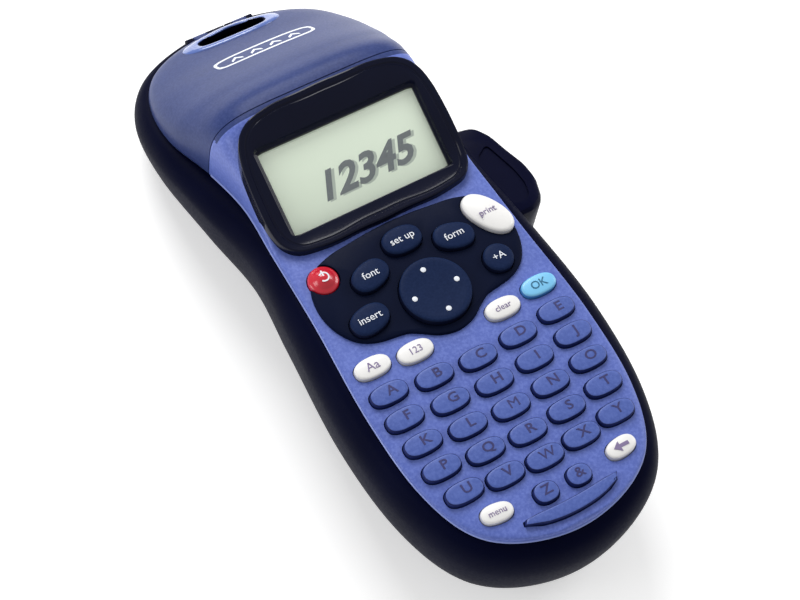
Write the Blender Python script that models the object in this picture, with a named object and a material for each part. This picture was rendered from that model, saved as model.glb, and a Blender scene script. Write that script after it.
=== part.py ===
"""Hand-held label maker lying on its back.

Row frame: +X to the right of the keypad, +Y towards the head, +Z out of the keypad.
The origin is on the flat back, under the middle of the case. Sizes are in millimetres.
"""
import math

import bmesh
import bpy
import numpy as np
from mathutils import Matrix, Vector

MM = 0.001

# Clearances
TOUCH_GAP = 0.3        # between pieces that rest on each other
KEY_GAP = 0.25         # round each key in its hole
TURN_GAP = 0.3         # round a pin or shaft in its bore

# Case: plan outlines as (place along Y, half width), round at both ends
TAIL_Y = -96.4
HEAD_Y = 98.5
BELLY = [(TAIL_Y, 0.0), (-84.5, 28.6), (-65.0, 36.9), (-39.0, 39.3), (-6.0, 37.0), (16.0, 35.1),
         (38.0, 38.0), (60.0, 39.7), (79.0, 36.8), (90.5, 28.7), (HEAD_Y, 0.0)]
RIM = [(-90.5, 0.0), (-80.5, 25.2), (-64.0, 31.8), (-42.0, 33.3), (-10.0, 31.6), (13.0, 30.6),
       (30.0, 29.5), (44.0, 31.0), (62.0, 34.4), (77.0, 32.7), (88.0, 26.6), (96.5, 0.0)]
WALL = 2.0
BASE_INSET = 15.0      # how far the flat back lies inside the belly line
FACE_Z = 38.0          # height of the keypad face
DISPLAY_SLOPE = 0.4545
DISPLAY_START_Y = 13.25
RIDGE_Y = 44.0

# Heights along the case as (place along Y, height)
BELLY_Z = [(TAIL_Y, 26.0), (28.0, 26.0), (38.0, 24.5), (49.0, 22.0), (58.0, 19.0), (66.0, 16.5),
           (76.0, 13.5), (84.0, 11.3), (HEAD_Y, 10.0)]
# Parting line between the housings, as its drop below the keypad face
RIM_DROP = [(-90.5, 2.5), (4.0, 2.5), (15.0, 3.5), (28.0, 5.5), (44.0, 9.0), (58.0, 13.0),
            (73.0, 18.0), (83.0, 21.5), (92.0, 24.0), (96.5, 24.8)]
RIM_Z = [(y, FACE_Z - drop) for y, drop in RIM_DROP]
# Lid's height along its middle, as a share of the rise from its end to the display's ridge
LID_PROFILE = [(50.0, 0.980), (58.0, 0.841), (70.0, 0.578), (80.0, 0.356), (88.0, 0.196),
               (93.0, 0.098), (96.5, 0.0)]
FULLNESS = [(-90.5, 7.0), (42.0, 6.0), (52.0, 3.4), (62.0, 2.6), (96.5, 2.3)]

SEAM_Y = 46.0          # between the front housing and the tape lid
RING_STEPS = 30

# Keys
KEY_TRAVEL = 1.0
KEY_FLANGE = 0.9
FLANGE_PLAY = 0.7      # between a resting key's flange and the inside of the face
KEY_BASE_Z = FACE_Z - WALL - FLANGE_PLAY - KEY_FLANGE
KEY_FLANGE_WIDTH = 0.5
KEY_TOP_Z = FACE_Z + 1.7
NAV_KEY_TOP_Z = FACE_Z + 3.2
LETTER_SIZE = (10.6, 5.8)
LETTER_ROW_Y = -39.75
LETTER_ROW_PITCH = 7.9
LETTER_PITCHES = (12.7, 12.75, 12.5, 12.2, 11.4)
ROW_BOW = 2.05         # how far a row's end keys lie above its middle key
FUNCTION_SIZE = (10.2, 5.8)
LOWER_SIZE = (8.8, 5.2)
ROUND_SIZE = (6.8, 5.6)
OVAL_SIZE = (11.4, 8.0)
DISC_RADIUS = 9.6
DISC_Y = -18.5
POWER_SIZE = (8.4, 8.4)
PRINT_SIZE = (15.6, 8.8)
SPACE_SIZE = (28.6, 3.8)
SPACE_Y = -85.6
SPACE_TAPER = 0.9      # lower edge's length as a share of the upper edge's
FUNCTION_ROW_Y = -31.35
LOWER_ROW_Y = -79.45
LOWER_TURN = 0.12
SIDE_KEY_X = 18.6
SAVE_SIZE = (8.4, 8.4)
KEY_BEVEL = 0.8

# Control panel under the navigation keys
PANEL_THICK = 1.0
PANEL_HALF_WIDTH = 29.4

# Display
BEZEL_THICK = 2.0
BEND_ROOM = 0.5        # spare height under the bezel where the face bends
BEZEL_BOTTOM_Y = 6.6
BEZEL_TOP_Y = 43.6
BEZEL_HALF_WIDTH = 29.6
BEZEL_CORNER = 8.0
SCREEN_SIZE = (46.8, 23.1)
SCREEN_Y = 23.75
WINDOW_THICK = 1.2
LCD_BORDER = 1.8
LCD_THICK = 3.2

# Circuit board
BOARD_SIZE = (54.0, 82.0)
BOARD_Y = -35.0
BOARD_THICK = 1.6
BOARD_DROP = 2.0       # from a pressed key's base to the board

# Battery bay: four AA cells lie across the grip
CELL_LENGTH = 50.5
CELL_DIAMETER = 14.5
CELL_COUNT = 4
BAY_PLAY = 2.6
BAY_HEADROOM = 3.0     # the back curves up under the ends of the cells
BAY_Y = -41.0
BAY_WALL = 1.6
COVER_LAP = 1.6

# Head mechanism; the label runs up from the nip to the exit slot
NIP = (78.0, 8.0)
SLOT_Y = 89.7
SLOT_WIDTH = 4.8
SLOT_LENGTH = 21.0
SLOT_RISE = 19.0
LIP_SIZE = (SLOT_LENGTH + 9.0, SLOT_WIDTH + 4.4)
LIP_HEIGHT = 1.4
PLATEN_RADIUS = 4.5
PLATEN_LENGTH = 16.0
SHAFT_RADIUS = 1.5
POST_X = 10.0          # bearing posts on both sides of the roller
POST_THICK = 1.6
GEAR_TEETH = 20
PINION_TEETH = 8
GEAR_MODULE = 0.62
GEAR_WIDTH = 3.0
GEAR_X = -13.0
MOTOR_RADIUS = 7.5
MOTOR_LENGTH = 13.0
HEAD_SIZE = (18.0, 4.0, 6.5)
CASSETTE_WIDTH = 20.0
CASSETTE_OUTLINE = [(40.0, 4.3), (68.4, 4.3), (68.4, 24.0), (62.5, 34.0), (57.0, 35.0), (40.0, 35.0)]
CASSETTE_WALL = 2.0
ROLL_AXIS = (54.6, 20.0)
ROLL_RADIUS = 12.4
ROLL_WIDTH = 12.0
HUB_RADIUS = 2.6

# Cutter
LEVER_PIVOT = (33.0, 24.0)
LEVER_Z = (12.5, 29.5)
LEVER_OUTLINE = [(36.0, 26.8), (40.6, 25.8), (43.4, 21.4), (45.2, 14.8), (47.3, 8.4), (47.7, 3.0),
                 (45.8, -3.0), (42.0, -5.2), (34.2, -5.2), (30.6, 0.0), (30.2, 20.0), (30.4, 26.4)]
LEVER_GATE_Y = (-8.2, 29.4)
LEVER_PIN_RADIUS = 1.6
LEVER_ROUND = 1.3
ROD_X = 21.5
ROD_Z = 14.6
ROD_RADIUS = 1.8
ROD_Y = (2.0, 80.0)
BLADE_THICK = 0.8
BLADE_EDGE_Y = 82.6
SPRING_Y = (50.0, 64.0)
SPRING_RADIUS = 2.9
SPRING_WIRE = 0.45
SPRING_TURNS = 6

# Lid hinge, just below the parting line at the head's end
HINGE_Y = 96.2
HINGE_Z = RIM_Z[-1][1] - 2.0
HINGE_RADIUS = 1.9
HINGE_PIN_RADIUS = 0.9
HINGE_X = 6.4
KNUCKLE_WIDTH = 4.0
LUG_WIDTH = 2.0
NOTCH_ROOM = 0.7       # under the lugs and knuckles

COLOURS = {
    "periwinkle": ((0.15, 0.21, 0.62, 1), 0.35, 0.3),
    "slate": ((0.07, 0.10, 0.28, 1), 0.25, 0.2),
    "navy": ((0.006, 0.010, 0.045, 1), 0.35, 0.0),
    "white": ((0.80, 0.80, 0.80, 1), 0.4, 0.0),
    "red": ((0.55, 0.01, 0.03, 1), 0.3, 0.0),
    "cyan": ((0.16, 0.50, 0.80, 1), 0.4, 0.0),
    "clear": ((0.85, 0.9, 0.85, 1), 0.05, 0.0),
    "lcd": ((0.62, 0.70, 0.60, 1), 0.5, 0.0),
    "board": ((0.02, 0.18, 0.06, 1), 0.5, 0.0),
    "steel": ((0.60, 0.60, 0.62, 1), 0.3, 1.0),
    "rubber": ((0.03, 0.03, 0.03, 1), 0.8, 0.0),
    "ivory": ((0.75, 0.74, 0.70, 1), 0.4, 0.0),
    "paper": ((0.85, 0.85, 0.82, 1), 0.8, 0.0),
}


# ---- helpers ----

def clear_scene():
    for old in list(bpy.data.objects):
        bpy.data.objects.remove(old, do_unlink=True)


def make_material(name, finish):
    colour, roughness, metallic = COLOURS[finish]
    material = bpy.data.materials.new(name)
    material.use_nodes = True
    shader = material.node_tree.nodes["Principled BSDF"]
    shader.inputs["Base Color"].default_value = colour
    shader.inputs["Roughness"].default_value = roughness
    shader.inputs["Metallic"].default_value = metallic
    material.diffuse_color = colour
    return material


def smooth(table, at):
    """Cubic curve through the (place, value) pairs of a table."""
    places, values = np.array(table, float).T
    slopes = np.gradient(values, places)
    at = np.clip(at, places[0], places[-1])
    index = np.clip(np.searchsorted(places, at) - 1, 0, len(places) - 2)
    span = places[index + 1] - places[index]
    t = (at - places[index]) / span
    start = values[index] * (2 * t**3 - 3 * t**2 + 1) + slopes[index] * span * (t**3 - 2 * t**2 + t)
    end = values[index + 1] * (3 * t**2 - 2 * t**3) + slopes[index + 1] * span * (t**3 - t**2)
    return start + end


def half_width(outline, y, inset=0.0):
    """Half width of a plan outline at y, with its ends rounded and all of it set in."""
    first, last = outline[0][0] + inset, outline[-1][0] - inset
    middle, reach = (first + last) / 2, (last - first) / 2
    full_middle = (outline[0][0] + outline[-1][0]) / 2
    full_reach = (outline[-1][0] - outline[0][0]) / 2
    turned = [(math.acos(max(-1.0, min(1.0, (full_middle - place) / full_reach))), width)
              for place, width in outline]
    widest = max(width for place, width in outline)
    angle = np.arccos(np.clip((middle - np.asarray(y, float)) / reach, -1.0, 1.0))
    return smooth(turned, angle) * (1 - inset / widest)


def stations(outline, inset=0.0):
    """Places along Y, close together at the rounded ends."""
    first, last = outline[0][0] + inset, outline[-1][0] - inset
    angles = np.linspace(0, math.pi, RING_STEPS + 1)
    return (first + last) / 2 - (last - first) / 2 * np.cos(angles)


def ring(y, x, z):
    """Closed ring: up the right side from the tail to the head, back down the left side."""
    x = np.array(x, float)
    x[0] = x[-1] = 0.0
    right = np.stack([x, y, z], 1)
    left = (right * [-1, 1, 1])[-2:0:-1]
    return np.concatenate([right, left])


def top_height(y):
    """Height of the case's top along its middle: keypad, sloping display, ridge, lid."""
    bend = 4.0
    rise = np.asarray(y, float) - DISPLAY_START_Y
    eased = np.where(rise < -bend, 0.0, np.where(rise > bend, rise, (rise + bend) ** 2 / (4 * bend)))
    front = FACE_Z + DISPLAY_SLOPE * eased
    edge = 1.2
    inside = np.clip((np.asarray(y, float) - RIM[0][0]) / edge, 0.0, 1.0)
    front = smooth(RIM_Z, y) + (front - smooth(RIM_Z, y)) * np.sqrt(1 - (1 - inside) ** 2)
    ridge = FACE_Z + DISPLAY_SLOPE * (RIDGE_Y - DISPLAY_START_Y)
    low = RIM_Z[-1][1]
    lid = low + (ridge - low) * smooth([(RIDGE_Y, 1.0)] + LID_PROFILE, y)
    return np.where(np.asarray(y) < RIDGE_Y, front, lid)


def surface_height(x, y, inset=0.0):
    """Height of the case's outer surface above the parting line."""
    low = smooth(RIM_Z, y)
    share = np.clip(np.abs(x) / np.maximum(half_width(RIM, y, inset), 1e-6), 0, 1)
    power = smooth(FULLNESS, y)
    return low + (top_height(y) - inset - low) * (1 - share**power) ** (1 / power)


def case_solid(name, inset=0.0):
    """The whole case as one closed solid, built from rings stacked upwards."""
    belly_y = stations(BELLY, inset)
    belly = ring(belly_y, half_width(BELLY, belly_y, inset), smooth(BELLY_Z, belly_y))
    rim_y = stations(RIM, inset)
    rim = ring(rim_y, half_width(RIM, rim_y, inset), smooth(RIM_Z, rim_y))
    base_y = stations(BELLY, BASE_INSET)
    base = ring(base_y, half_width(BELLY, base_y, BASE_INSET), np.full(len(base_y), inset))
    rings = [base]
    for turn in (30, 60):
        out, up = math.sin(math.radians(turn)), 1 - math.cos(math.radians(turn))
        rings.append(base + (belly - base) * [out, out, up])
    rings.append(belly)
    for turn in (30, 60):
        inward, up = 1 - math.cos(math.radians(turn)), math.sin(math.radians(turn))
        rings.append(belly + (rim - belly) * [inward, inward, up])
    rings.append(rim)
    for share, end in ((0.995, 0.15), (0.97, 0.6), (0.9, 1.6), (0.72, 5.0), (0.4, 9.0)):
        y = stations(RIM, inset + end)
        x = half_width(RIM, y, inset) * share
        x[0] = x[-1] = 0.0
        rings.append(ring(y, x, surface_height(x, y, inset)))
    return loft(name, rings)


def loft(name, rings):
    """Closed solid through a stack of rings; the last ring is closed across its width."""
    count = len(rings[0])
    points = np.concatenate(rings) * MM
    mesh = bmesh.new()
    verts = [mesh.verts.new(point) for point in points]
    for level in range(len(rings) - 1):
        for i in range(count):
            j = (i + 1) % count
            low, high = level * count, (level + 1) * count
            mesh.faces.new([verts[low + i], verts[low + j], verts[high + j], verts[high + i]])
    mesh.faces.new([verts[i] for i in reversed(range(count))])
    top = (len(rings) - 1) * count
    half = count // 2
    for i in range(half):
        right, left = (i, i + 1), (count - i - 1, (count - i) % count)
        corners = [top + right[0], top + right[1], top + left[0], top + left[1]]
        corners = list(dict.fromkeys(corners))
        mesh.faces.new([verts[k] for k in corners])
    return finish_mesh(name, mesh)


def finish_mesh(name, mesh):
    bmesh.ops.remove_doubles(mesh, verts=mesh.verts[:], dist=1e-6)
    bmesh.ops.recalc_face_normals(mesh, faces=mesh.faces[:])
    data = bpy.data.meshes.new(name)
    mesh.to_mesh(data)
    mesh.free()
    obj = bpy.data.objects.new(name, data)
    bpy.context.scene.collection.objects.link(obj)
    return obj


def block(name, low, high):
    """Box between two corners."""
    mesh = bmesh.new()
    size = [(b - a) * MM for a, b in zip(low, high)]
    middle = Vector([(a + b) / 2 * MM for a, b in zip(low, high)])
    bmesh.ops.create_cube(mesh, size=1.0, matrix=Matrix.Translation(middle) @ Matrix.Diagonal((*size, 1)))
    return finish_mesh(name, mesh)


def prism(name, outline, low, high, axis="Z"):
    """Outline pushed along an axis: (x, y) along Z, (y, z) along X."""
    mesh = bmesh.new()
    place = {"Z": lambda a, b, c: (a, b, c), "X": lambda a, b, c: (c, a, b)}[axis]
    verts = [mesh.verts.new(Vector(place(a, b, low)) * MM) for a, b in outline]
    face = mesh.faces.new(verts)
    moved = bmesh.ops.extrude_face_region(mesh, geom=[face])["geom"]
    shift = Vector(place(0, 0, high - low)) * MM
    far = [item for item in moved if isinstance(item, bmesh.types.BMVert)]
    bmesh.ops.translate(mesh, vec=shift, verts=far)
    return finish_mesh(name, mesh)


def rod(name, radius, low, high, centre, axis="X", sides=16):
    """Round bar from low to high along an axis; centre holds the other two coordinates."""
    circle = [(centre[0] + radius * math.cos(2 * math.pi * (k + 0.5) / sides),
               centre[1] + radius * math.sin(2 * math.pi * (k + 0.5) / sides)) for k in range(sides)]
    if axis == "Y":
        obj = prism(name, circle, low, high, "Z")
        turn = Matrix(((1, 0, 0, 0), (0, 0, 1, 0), (0, 1, 0, 0), (0, 0, 0, 1)))
        obj.data.transform(turn)
        obj.data.flip_normals()
        return obj
    return prism(name, circle, low, high, axis)


def combine(target, other, operation):
    """Applies a Boolean to the target's mesh and removes the other solid."""
    modifier = target.modifiers.new("join", "BOOLEAN")
    modifier.operation = operation
    modifier.object = other
    modifier.solver = "EXACT"
    graph = bpy.context.evaluated_depsgraph_get()
    data = bpy.data.meshes.new_from_object(target.evaluated_get(graph))
    target.modifiers.clear()
    old = target.data
    target.data = data
    bpy.data.meshes.remove(old)
    bpy.data.objects.remove(other, do_unlink=True)
    return target


def cut(target, *others):
    for other in others:
        combine(target, other, "DIFFERENCE")
    return target


def add(target, *others):
    for other in others:
        combine(target, other, "UNION")
    return target


def keep(target, other):
    return combine(target, other, "INTERSECT")


def join_shapes(name, shapes):
    """Puts separate closed shapes, which don't touch, in one cutter."""
    mesh = bmesh.new()
    for shape in shapes:
        mesh.from_mesh(shape.data)
        bpy.data.objects.remove(shape, do_unlink=True)
    return finish_mesh(name, mesh)


def finish(obj, finish_name, origin=None, sharp=30):
    """Names the material, shades the piece and puts its origin on its joint's axis."""
    obj.data.materials.clear()
    obj.data.materials.append(make_material(obj.name, finish_name))
    tidy = bmesh.new()
    tidy.from_mesh(obj.data)
    bmesh.ops.remove_doubles(tidy, verts=tidy.verts[:], dist=2e-6)
    bmesh.ops.dissolve_degenerate(tidy, edges=tidy.edges[:], dist=2e-6)
    bmesh.ops.triangulate(tidy, faces=tidy.faces[:])
    tidy.to_mesh(obj.data)
    tidy.free()
    obj.data.shade_smooth()
    obj.data.set_sharp_from_angle(angle=math.radians(sharp))
    if origin is not None:
        place = Vector(origin) * MM
        obj.data.transform(Matrix.Translation(-place))
        obj.location = place
    return obj


# ---- outlines ----

def super_oval(size, power, steps, angle=0.0, centre=(0.0, 0.0), grow=0.0):
    """Rounded oval between an ellipse and a rectangle."""
    points = []
    for k in range(steps):
        t = 2 * math.pi * (k + 0.5) / steps
        c, s = math.cos(t), math.sin(t)
        x = (size[0] / 2 + grow) * math.copysign(abs(c) ** (2 / power), c)
        y = (size[1] / 2 + grow) * math.copysign(abs(s) ** (2 / power), s)
        points.append((centre[0] + x * math.cos(angle) - y * math.sin(angle),
                       centre[1] + x * math.sin(angle) + y * math.cos(angle)))
    return points


def parting_prism(name, above, gap):
    """Everything above or below the parting line, moved off it by a gap."""
    places = [-130.0] + [y for y, z in RIM_Z] + [130.0]
    line = [(y, float(smooth(RIM_Z, y)) + gap) for y in places]
    far = 90.0 if above else -30.0
    outline = line + [(130.0, far), (-130.0, far)]
    return prism(name, outline, -80.0, 80.0, "X")


def row_bow(x):
    return ROW_BOW * (abs(x) / 25.2) ** 1.5


def key_table():
    """Every key as name, x, y, size, power, angle, top and finish."""
    keys = []
    for row, pitch in enumerate(LETTER_PITCHES):
        for column in range(-2, 3):
            x = column * pitch
            y = LETTER_ROW_Y - row * LETTER_ROW_PITCH + row_bow(x)
            name = f"letter_key_{row + 1}_{column + 3}"
            keys.append((name, x, y, LETTER_SIZE, 2.6, 0.0, KEY_TOP_Z, "periwinkle"))
    for name, x, finish_name in (("case_key", -25.3, "white"), ("digit_key", -13.3, "white"),
                                 ("back_key", 13.3, "white"), ("enter_key", 25.3, "cyan")):
        y = FUNCTION_ROW_Y + row_bow(x)
        keys.append((name, x, y, FUNCTION_SIZE, 2.4, 0.0, KEY_TOP_Z, finish_name))
    for name, side in (("symbol_key", -1), ("accent_key", 1)):
        y = LOWER_ROW_Y + row_bow(SIDE_KEY_X)
        keys.append((name, side * SIDE_KEY_X, y, LOWER_SIZE, 2.4, side * LOWER_TURN, KEY_TOP_Z, "white"))
    for name, x in (("letter_key_6_1", -4.9), ("letter_key_6_2", 4.9)):
        keys.append((name, x, LOWER_ROW_Y, ROUND_SIZE, 2.4, 0.0, KEY_TOP_Z, "periwinkle"))
    keys.append(("power_key", -23.8, -1.8, POWER_SIZE, 2.0, 0.0, NAV_KEY_TOP_Z, "red"))
    keys.append(("format_key", -12.8, -6.8, OVAL_SIZE, 2.3, 0.3, NAV_KEY_TOP_Z, "navy"))
    keys.append(("settings_key", 0.0, -1.4, OVAL_SIZE, 2.3, 0.0, NAV_KEY_TOP_Z, "navy"))
    keys.append(("preview_key", 12.8, -6.8, OVAL_SIZE, 2.3, -0.3, NAV_KEY_TOP_Z, "navy"))
    keys.append(("insert_key", -19.4, -17.8, OVAL_SIZE, 2.3, 0.2, NAV_KEY_TOP_Z, "navy"))
    keys.append(("save_key", 19.8, -17.9, SAVE_SIZE, 2.0, 0.0, NAV_KEY_TOP_Z, "navy"))
    keys.append(("print_key", 24.6, -5.0, PRINT_SIZE, 2.2, math.radians(-62), NAV_KEY_TOP_Z, "white"))
    disc = (2 * DISC_RADIUS, 2 * DISC_RADIUS)
    keys.append(("nav_disc", 0.0, DISC_Y, disc, 2.0, 0.0, NAV_KEY_TOP_Z, "navy"))
    return keys


def space_outline(grow=0.0):
    """Long bar that follows the lower edge of the face."""
    half, depth = SPACE_SIZE[0] / 2 + grow, SPACE_SIZE[1] / 2 + grow
    across = np.linspace(-1, 1, 7)
    arc = 1.9 * across**2
    lower = [(half * a * SPACE_TAPER, SPACE_Y - depth + b) for a, b in zip(across, arc)]
    upper = [(half * a, SPACE_Y + depth + b * 0.6) for a, b in zip(across[::-1], arc[::-1])]
    return lower + upper


def panel_outline():
    """Plan of the control panel: broad top, pinched sides and a bulge round the disc."""
    right = [(0.0, 5.6), (12.0, 4.9), (21.0, 3.4), (26.0, 0.6), (28.8, -4.4), (PANEL_HALF_WIDTH, -10.5),
             (28.0, -17.0), (24.6, -21.6), (20.0, -24.0), (14.2, -24.4), (10.6, -25.6)]
    bulge_radius = DISC_RADIUS + 2.6
    bulge = [(bulge_radius * math.cos(a), DISC_Y + bulge_radius * math.sin(a))
             for a in (math.radians(d) for d in (-52, -71))]
    side = right + bulge
    left = [(-x, y) for x, y in side[1:]][::-1]
    return side + [(0.0, DISC_Y - bulge_radius)] + left


def rounded_outline(x, low_y, high_y, corner, steps=5):
    """Rounded rectangle, wide 2x, between two places along Y."""
    points = []
    for sign_x, sign_y, start in ((1, -1, -90), (1, 1, 0), (-1, 1, 90), (-1, -1, 180)):
        centre_x = sign_x * (x - corner)
        centre_y = high_y - corner if sign_y > 0 else low_y + corner
        for k in range(steps + 1):
            angle = math.radians(start + 90 * k / steps)
            points.append((centre_x + corner * math.cos(angle), centre_y + corner * math.sin(angle)))
    return points


# ---- keys ----

def make_key(name, outline_at, top, finish_name, centre):
    """Key cap: a flange under the face, a shank through the hole and a bevelled top."""
    levels = ((KEY_FLANGE_WIDTH, KEY_BASE_Z), (KEY_FLANGE_WIDTH, KEY_BASE_Z + KEY_FLANGE),
              (0.0, KEY_BASE_Z + KEY_FLANGE), (0.0, top - KEY_BEVEL), (-KEY_BEVEL, top))
    mesh = bmesh.new()
    loops = []
    for grow, z in levels:
        loops.append([mesh.verts.new(Vector((x, y, z)) * MM) for x, y in outline_at(grow)])
    for low, high in zip(loops, loops[1:]):
        for i in range(len(low)):
            j = (i + 1) % len(low)
            mesh.faces.new([low[i], low[j], high[j], high[i]])
    mesh.faces.new(loops[0][::-1])
    mesh.faces.new(loops[-1])
    key = finish_mesh(name, mesh)
    return finish(key, finish_name, (*centre, KEY_BASE_Z))


def key_hole(outline_at):
    return prism("hole", outline_at(KEY_GAP), KEY_BASE_Z + KEY_FLANGE + 0.1, NAV_KEY_TOP_Z + 3.0)


def make_keys():
    """Makes every key and returns the outlines that the face and panel are cut with."""
    holes = []
    for name, x, y, size, power, angle, top, finish_name in key_table():
        steps = 20 if name == "nav_disc" else 12

        def outline_at(grow, size=size, power=power, angle=angle, centre=(x, y), steps=steps):
            return super_oval(size, power, steps, angle, centre, grow)

        make_key(name, outline_at, top, finish_name, (x, y))
        holes.append((name, outline_at))
    make_key("space_key", space_outline, KEY_TOP_Z, "periwinkle", (0.0, SPACE_Y))
    holes.append(("space_key", space_outline))
    return holes


# ---- case ----

def make_front_housing(holes):
    front = keep(case_solid("front_housing"), parting_prism("above", True, TOUCH_GAP / 2))
    cut(front, case_solid("inside", WALL))
    cut(front, block("beyond", (-70, SEAM_Y - TOUCH_GAP / 2, -10), (70, 130, 90)))
    cut(front, join_shapes("holes", [key_hole(outline_at) for name, outline_at in holes]))
    half_x = SCREEN_SIZE[0] / 2 + LCD_BORDER + TOUCH_GAP
    half_y = SCREEN_SIZE[1] / 2 + LCD_BORDER + TOUCH_GAP
    opening = display_box("lcd_hole", (half_x, half_y), -12.0, 12.0)
    cut(front, opening)
    finish(front, "periwinkle")


def display_box(name, half, low, high):
    """Box square to the sloping display, centred on the screen, between two depths."""
    box = block(name, (-half[0], -half[1], low), (half[0], half[1], high))
    tilt = math.atan(DISPLAY_SLOPE)
    middle = Vector((0, SCREEN_Y, FACE_Z + DISPLAY_SLOPE * (SCREEN_Y - DISPLAY_START_Y))) * MM
    box.data.transform(Matrix.Translation(middle) @ Matrix.Rotation(tilt, 4, "X"))
    return box


def make_display():
    tilt = math.atan(DISPLAY_SLOPE)
    lcd_half = (SCREEN_SIZE[0] / 2 + LCD_BORDER, SCREEN_SIZE[1] / 2 + LCD_BORDER)
    lcd_top = -TOUCH_GAP
    finish(display_box("lcd_module", lcd_half, lcd_top - LCD_THICK, lcd_top), "lcd")
    window_half = (SCREEN_SIZE[0] / 2, SCREEN_SIZE[1] / 2)
    window_low = TOUCH_GAP + 0.2
    finish(display_box("display_window", window_half, window_low, window_low + WINDOW_THICK), "clear")

    places = [0.0, 9.25, 11.25, 13.25, 15.25, 17.25, RIDGE_Y - 0.01]
    room = [0.0, BEND_ROOM, BEND_ROOM, BEND_ROOM, BEND_ROOM, BEND_ROOM, 0.0]
    low_line = [(y, float(top_height(y)) + TOUCH_GAP + spare) for y, spare in zip(places, room)]
    beyond = 60.0
    low_line.append((beyond, low_line[-1][1] + (beyond - RIDGE_Y) * DISPLAY_SLOPE))
    rise = BEZEL_THICK / math.cos(tilt)
    high_line = [(y, z + rise) for y, z in low_line[::-1]]
    bezel = prism("display_bezel", low_line + high_line, -60.0, 60.0, "X")
    outline = rounded_outline(BEZEL_HALF_WIDTH, BEZEL_BOTTOM_Y, BEZEL_TOP_Y, BEZEL_CORNER)
    keep(bezel, prism("outline", outline, 20.0, 90.0))
    hole_half = (window_half[0] + TOUCH_GAP, window_half[1] + TOUCH_GAP)
    cut(bezel, display_box("window_hole", hole_half, -8.0, 12.0))
    finish(bezel, "navy")


def make_panel(holes):
    low = FACE_Z + TOUCH_GAP
    panel = prism("nav_panel", panel_outline(), low, low + PANEL_THICK)
    near = [outline_at for name, outline_at in holes
            if name.endswith("_key") or name == "nav_disc"]
    cut(panel, join_shapes("holes", [key_hole(outline_at) for outline_at in near]))
    finish(panel, "navy")


def bay_bounds():
    half_x = (CELL_LENGTH + BAY_PLAY) / 2
    half_y = (CELL_COUNT * (CELL_DIAMETER + 0.3)) / 2 + 0.5
    top = WALL + CELL_DIAMETER + BAY_HEADROOM
    return half_x, BAY_Y - half_y, BAY_Y + half_y, top


def make_rear_housing():
    rear = keep(case_solid("rear_housing"), parting_prism("below", False, -TOUCH_GAP / 2))
    cut(rear, case_solid("inside", WALL))
    half_x, low_y, high_y, top = bay_bounds()
    add(rear, block("bay", (-half_x - BAY_WALL, low_y - BAY_WALL, WALL / 2),
                    (half_x + BAY_WALL, high_y + BAY_WALL, top + BAY_WALL)))
    cut(rear, block("bay_room", (-half_x, low_y, -5), (half_x, high_y, top)))
    cut(rear, cover_block(TOUCH_GAP))
    nip_y, nip_z = platen_centre()
    floor = WALL / 2
    for x in (POST_X, -POST_X):
        low, high = x - POST_THICK / 2, x + POST_THICK / 2
        add(rear, block("post", (low, nip_y - 3.2, floor), (high, nip_y + 3.2, nip_z + 3.2)))
    cut(rear, rod("bearings", SHAFT_RADIUS + TURN_GAP, -POST_X - 2.0, POST_X + 2.0, (nip_y, nip_z)))
    motor_y = nip_y - gear_distance()
    low_x, high_x = motor_span()
    cradle = block("cradle", (low_x + 3.0, motor_y - 5.0, floor), (high_x - 3.0, motor_y + 5.0, nip_z - 3.0))
    seat = rod("seat", MOTOR_RADIUS + TOUCH_GAP, low_x - 2.0, high_x + 2.0, (motor_y, nip_z), "X", 20)
    cut(cradle, seat)
    add(rear, cradle)
    add(rear, block("spring_stop", (ROD_X - 4.5, SPRING_Y[1] + TOUCH_GAP, floor),
                    (ROD_X + 4.5, SPRING_Y[1] + TOUCH_GAP + 2.0, ROD_Z + 4.0)))
    bore = rod("rod_bore", ROD_RADIUS + TURN_GAP, SPRING_Y[1] - 3.0, SPRING_Y[1] + 6.0, (ROD_X, ROD_Z), "Y")
    cut(rear, bore)
    add(rear, block("pivot_post", (LEVER_PIVOT[0] - 3.0, LEVER_PIVOT[1] - 3.0, floor),
                    (LEVER_PIVOT[0] + 1.5, LEVER_PIVOT[1] + 3.0, LEVER_Z[0] - TOUCH_GAP)))
    cut(rear, block("lever_gate", (LEVER_PIVOT[0] - 8.0, LEVER_GATE_Y[0], LEVER_Z[0] - TOUCH_GAP),
                    (60.0, LEVER_GATE_Y[1], LEVER_Z[1] + TOUCH_GAP)))
    add(rear, rod("pivot_pin", LEVER_PIN_RADIUS, LEVER_Z[0] - 2.0, LEVER_Z[1] - 1.0, LEVER_PIVOT, "Z", 12))
    add_hinge_lugs(rear)
    finish(rear, "navy")


def lug_spans(middle):
    """Places along X of the two lugs beside the knuckle at a middle."""
    near = KNUCKLE_WIDTH / 2 + TOUCH_GAP
    return [(middle - near - LUG_WIDTH, middle - near), (middle + near, middle + near + LUG_WIDTH)]


def add_hinge_lugs(rear):
    """Opens the end wall for the lid's knuckles and adds the bored lugs beside them."""
    axis = (HINGE_Y, HINGE_Z)
    floor = HINGE_Z - HINGE_RADIUS - NOTCH_ROOM
    for middle in (-HINGE_X, HINGE_X):
        lugs = lug_spans(middle)
        low, high = lugs[0][0] - TOUCH_GAP, lugs[1][1] + TOUCH_GAP
        cut(rear, block("notch", (low, HINGE_Y - 4.4, floor), (high, HINGE_Y + 9.0, HINGE_Z + 9.0)))
        for start, end in lugs:
            lug = rod("lug", HINGE_RADIUS, start, end, axis, "X", 12)
            add(lug, block("web", (start, HINGE_Y - 1.8, floor - 1.5), (end, HINGE_Y + 0.6, HINGE_Z)))
            cut(lug, rod("bore", HINGE_PIN_RADIUS + TURN_GAP, start - 1.0, end + 1.0, axis, "X", 10))
            add(rear, lug)


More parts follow.
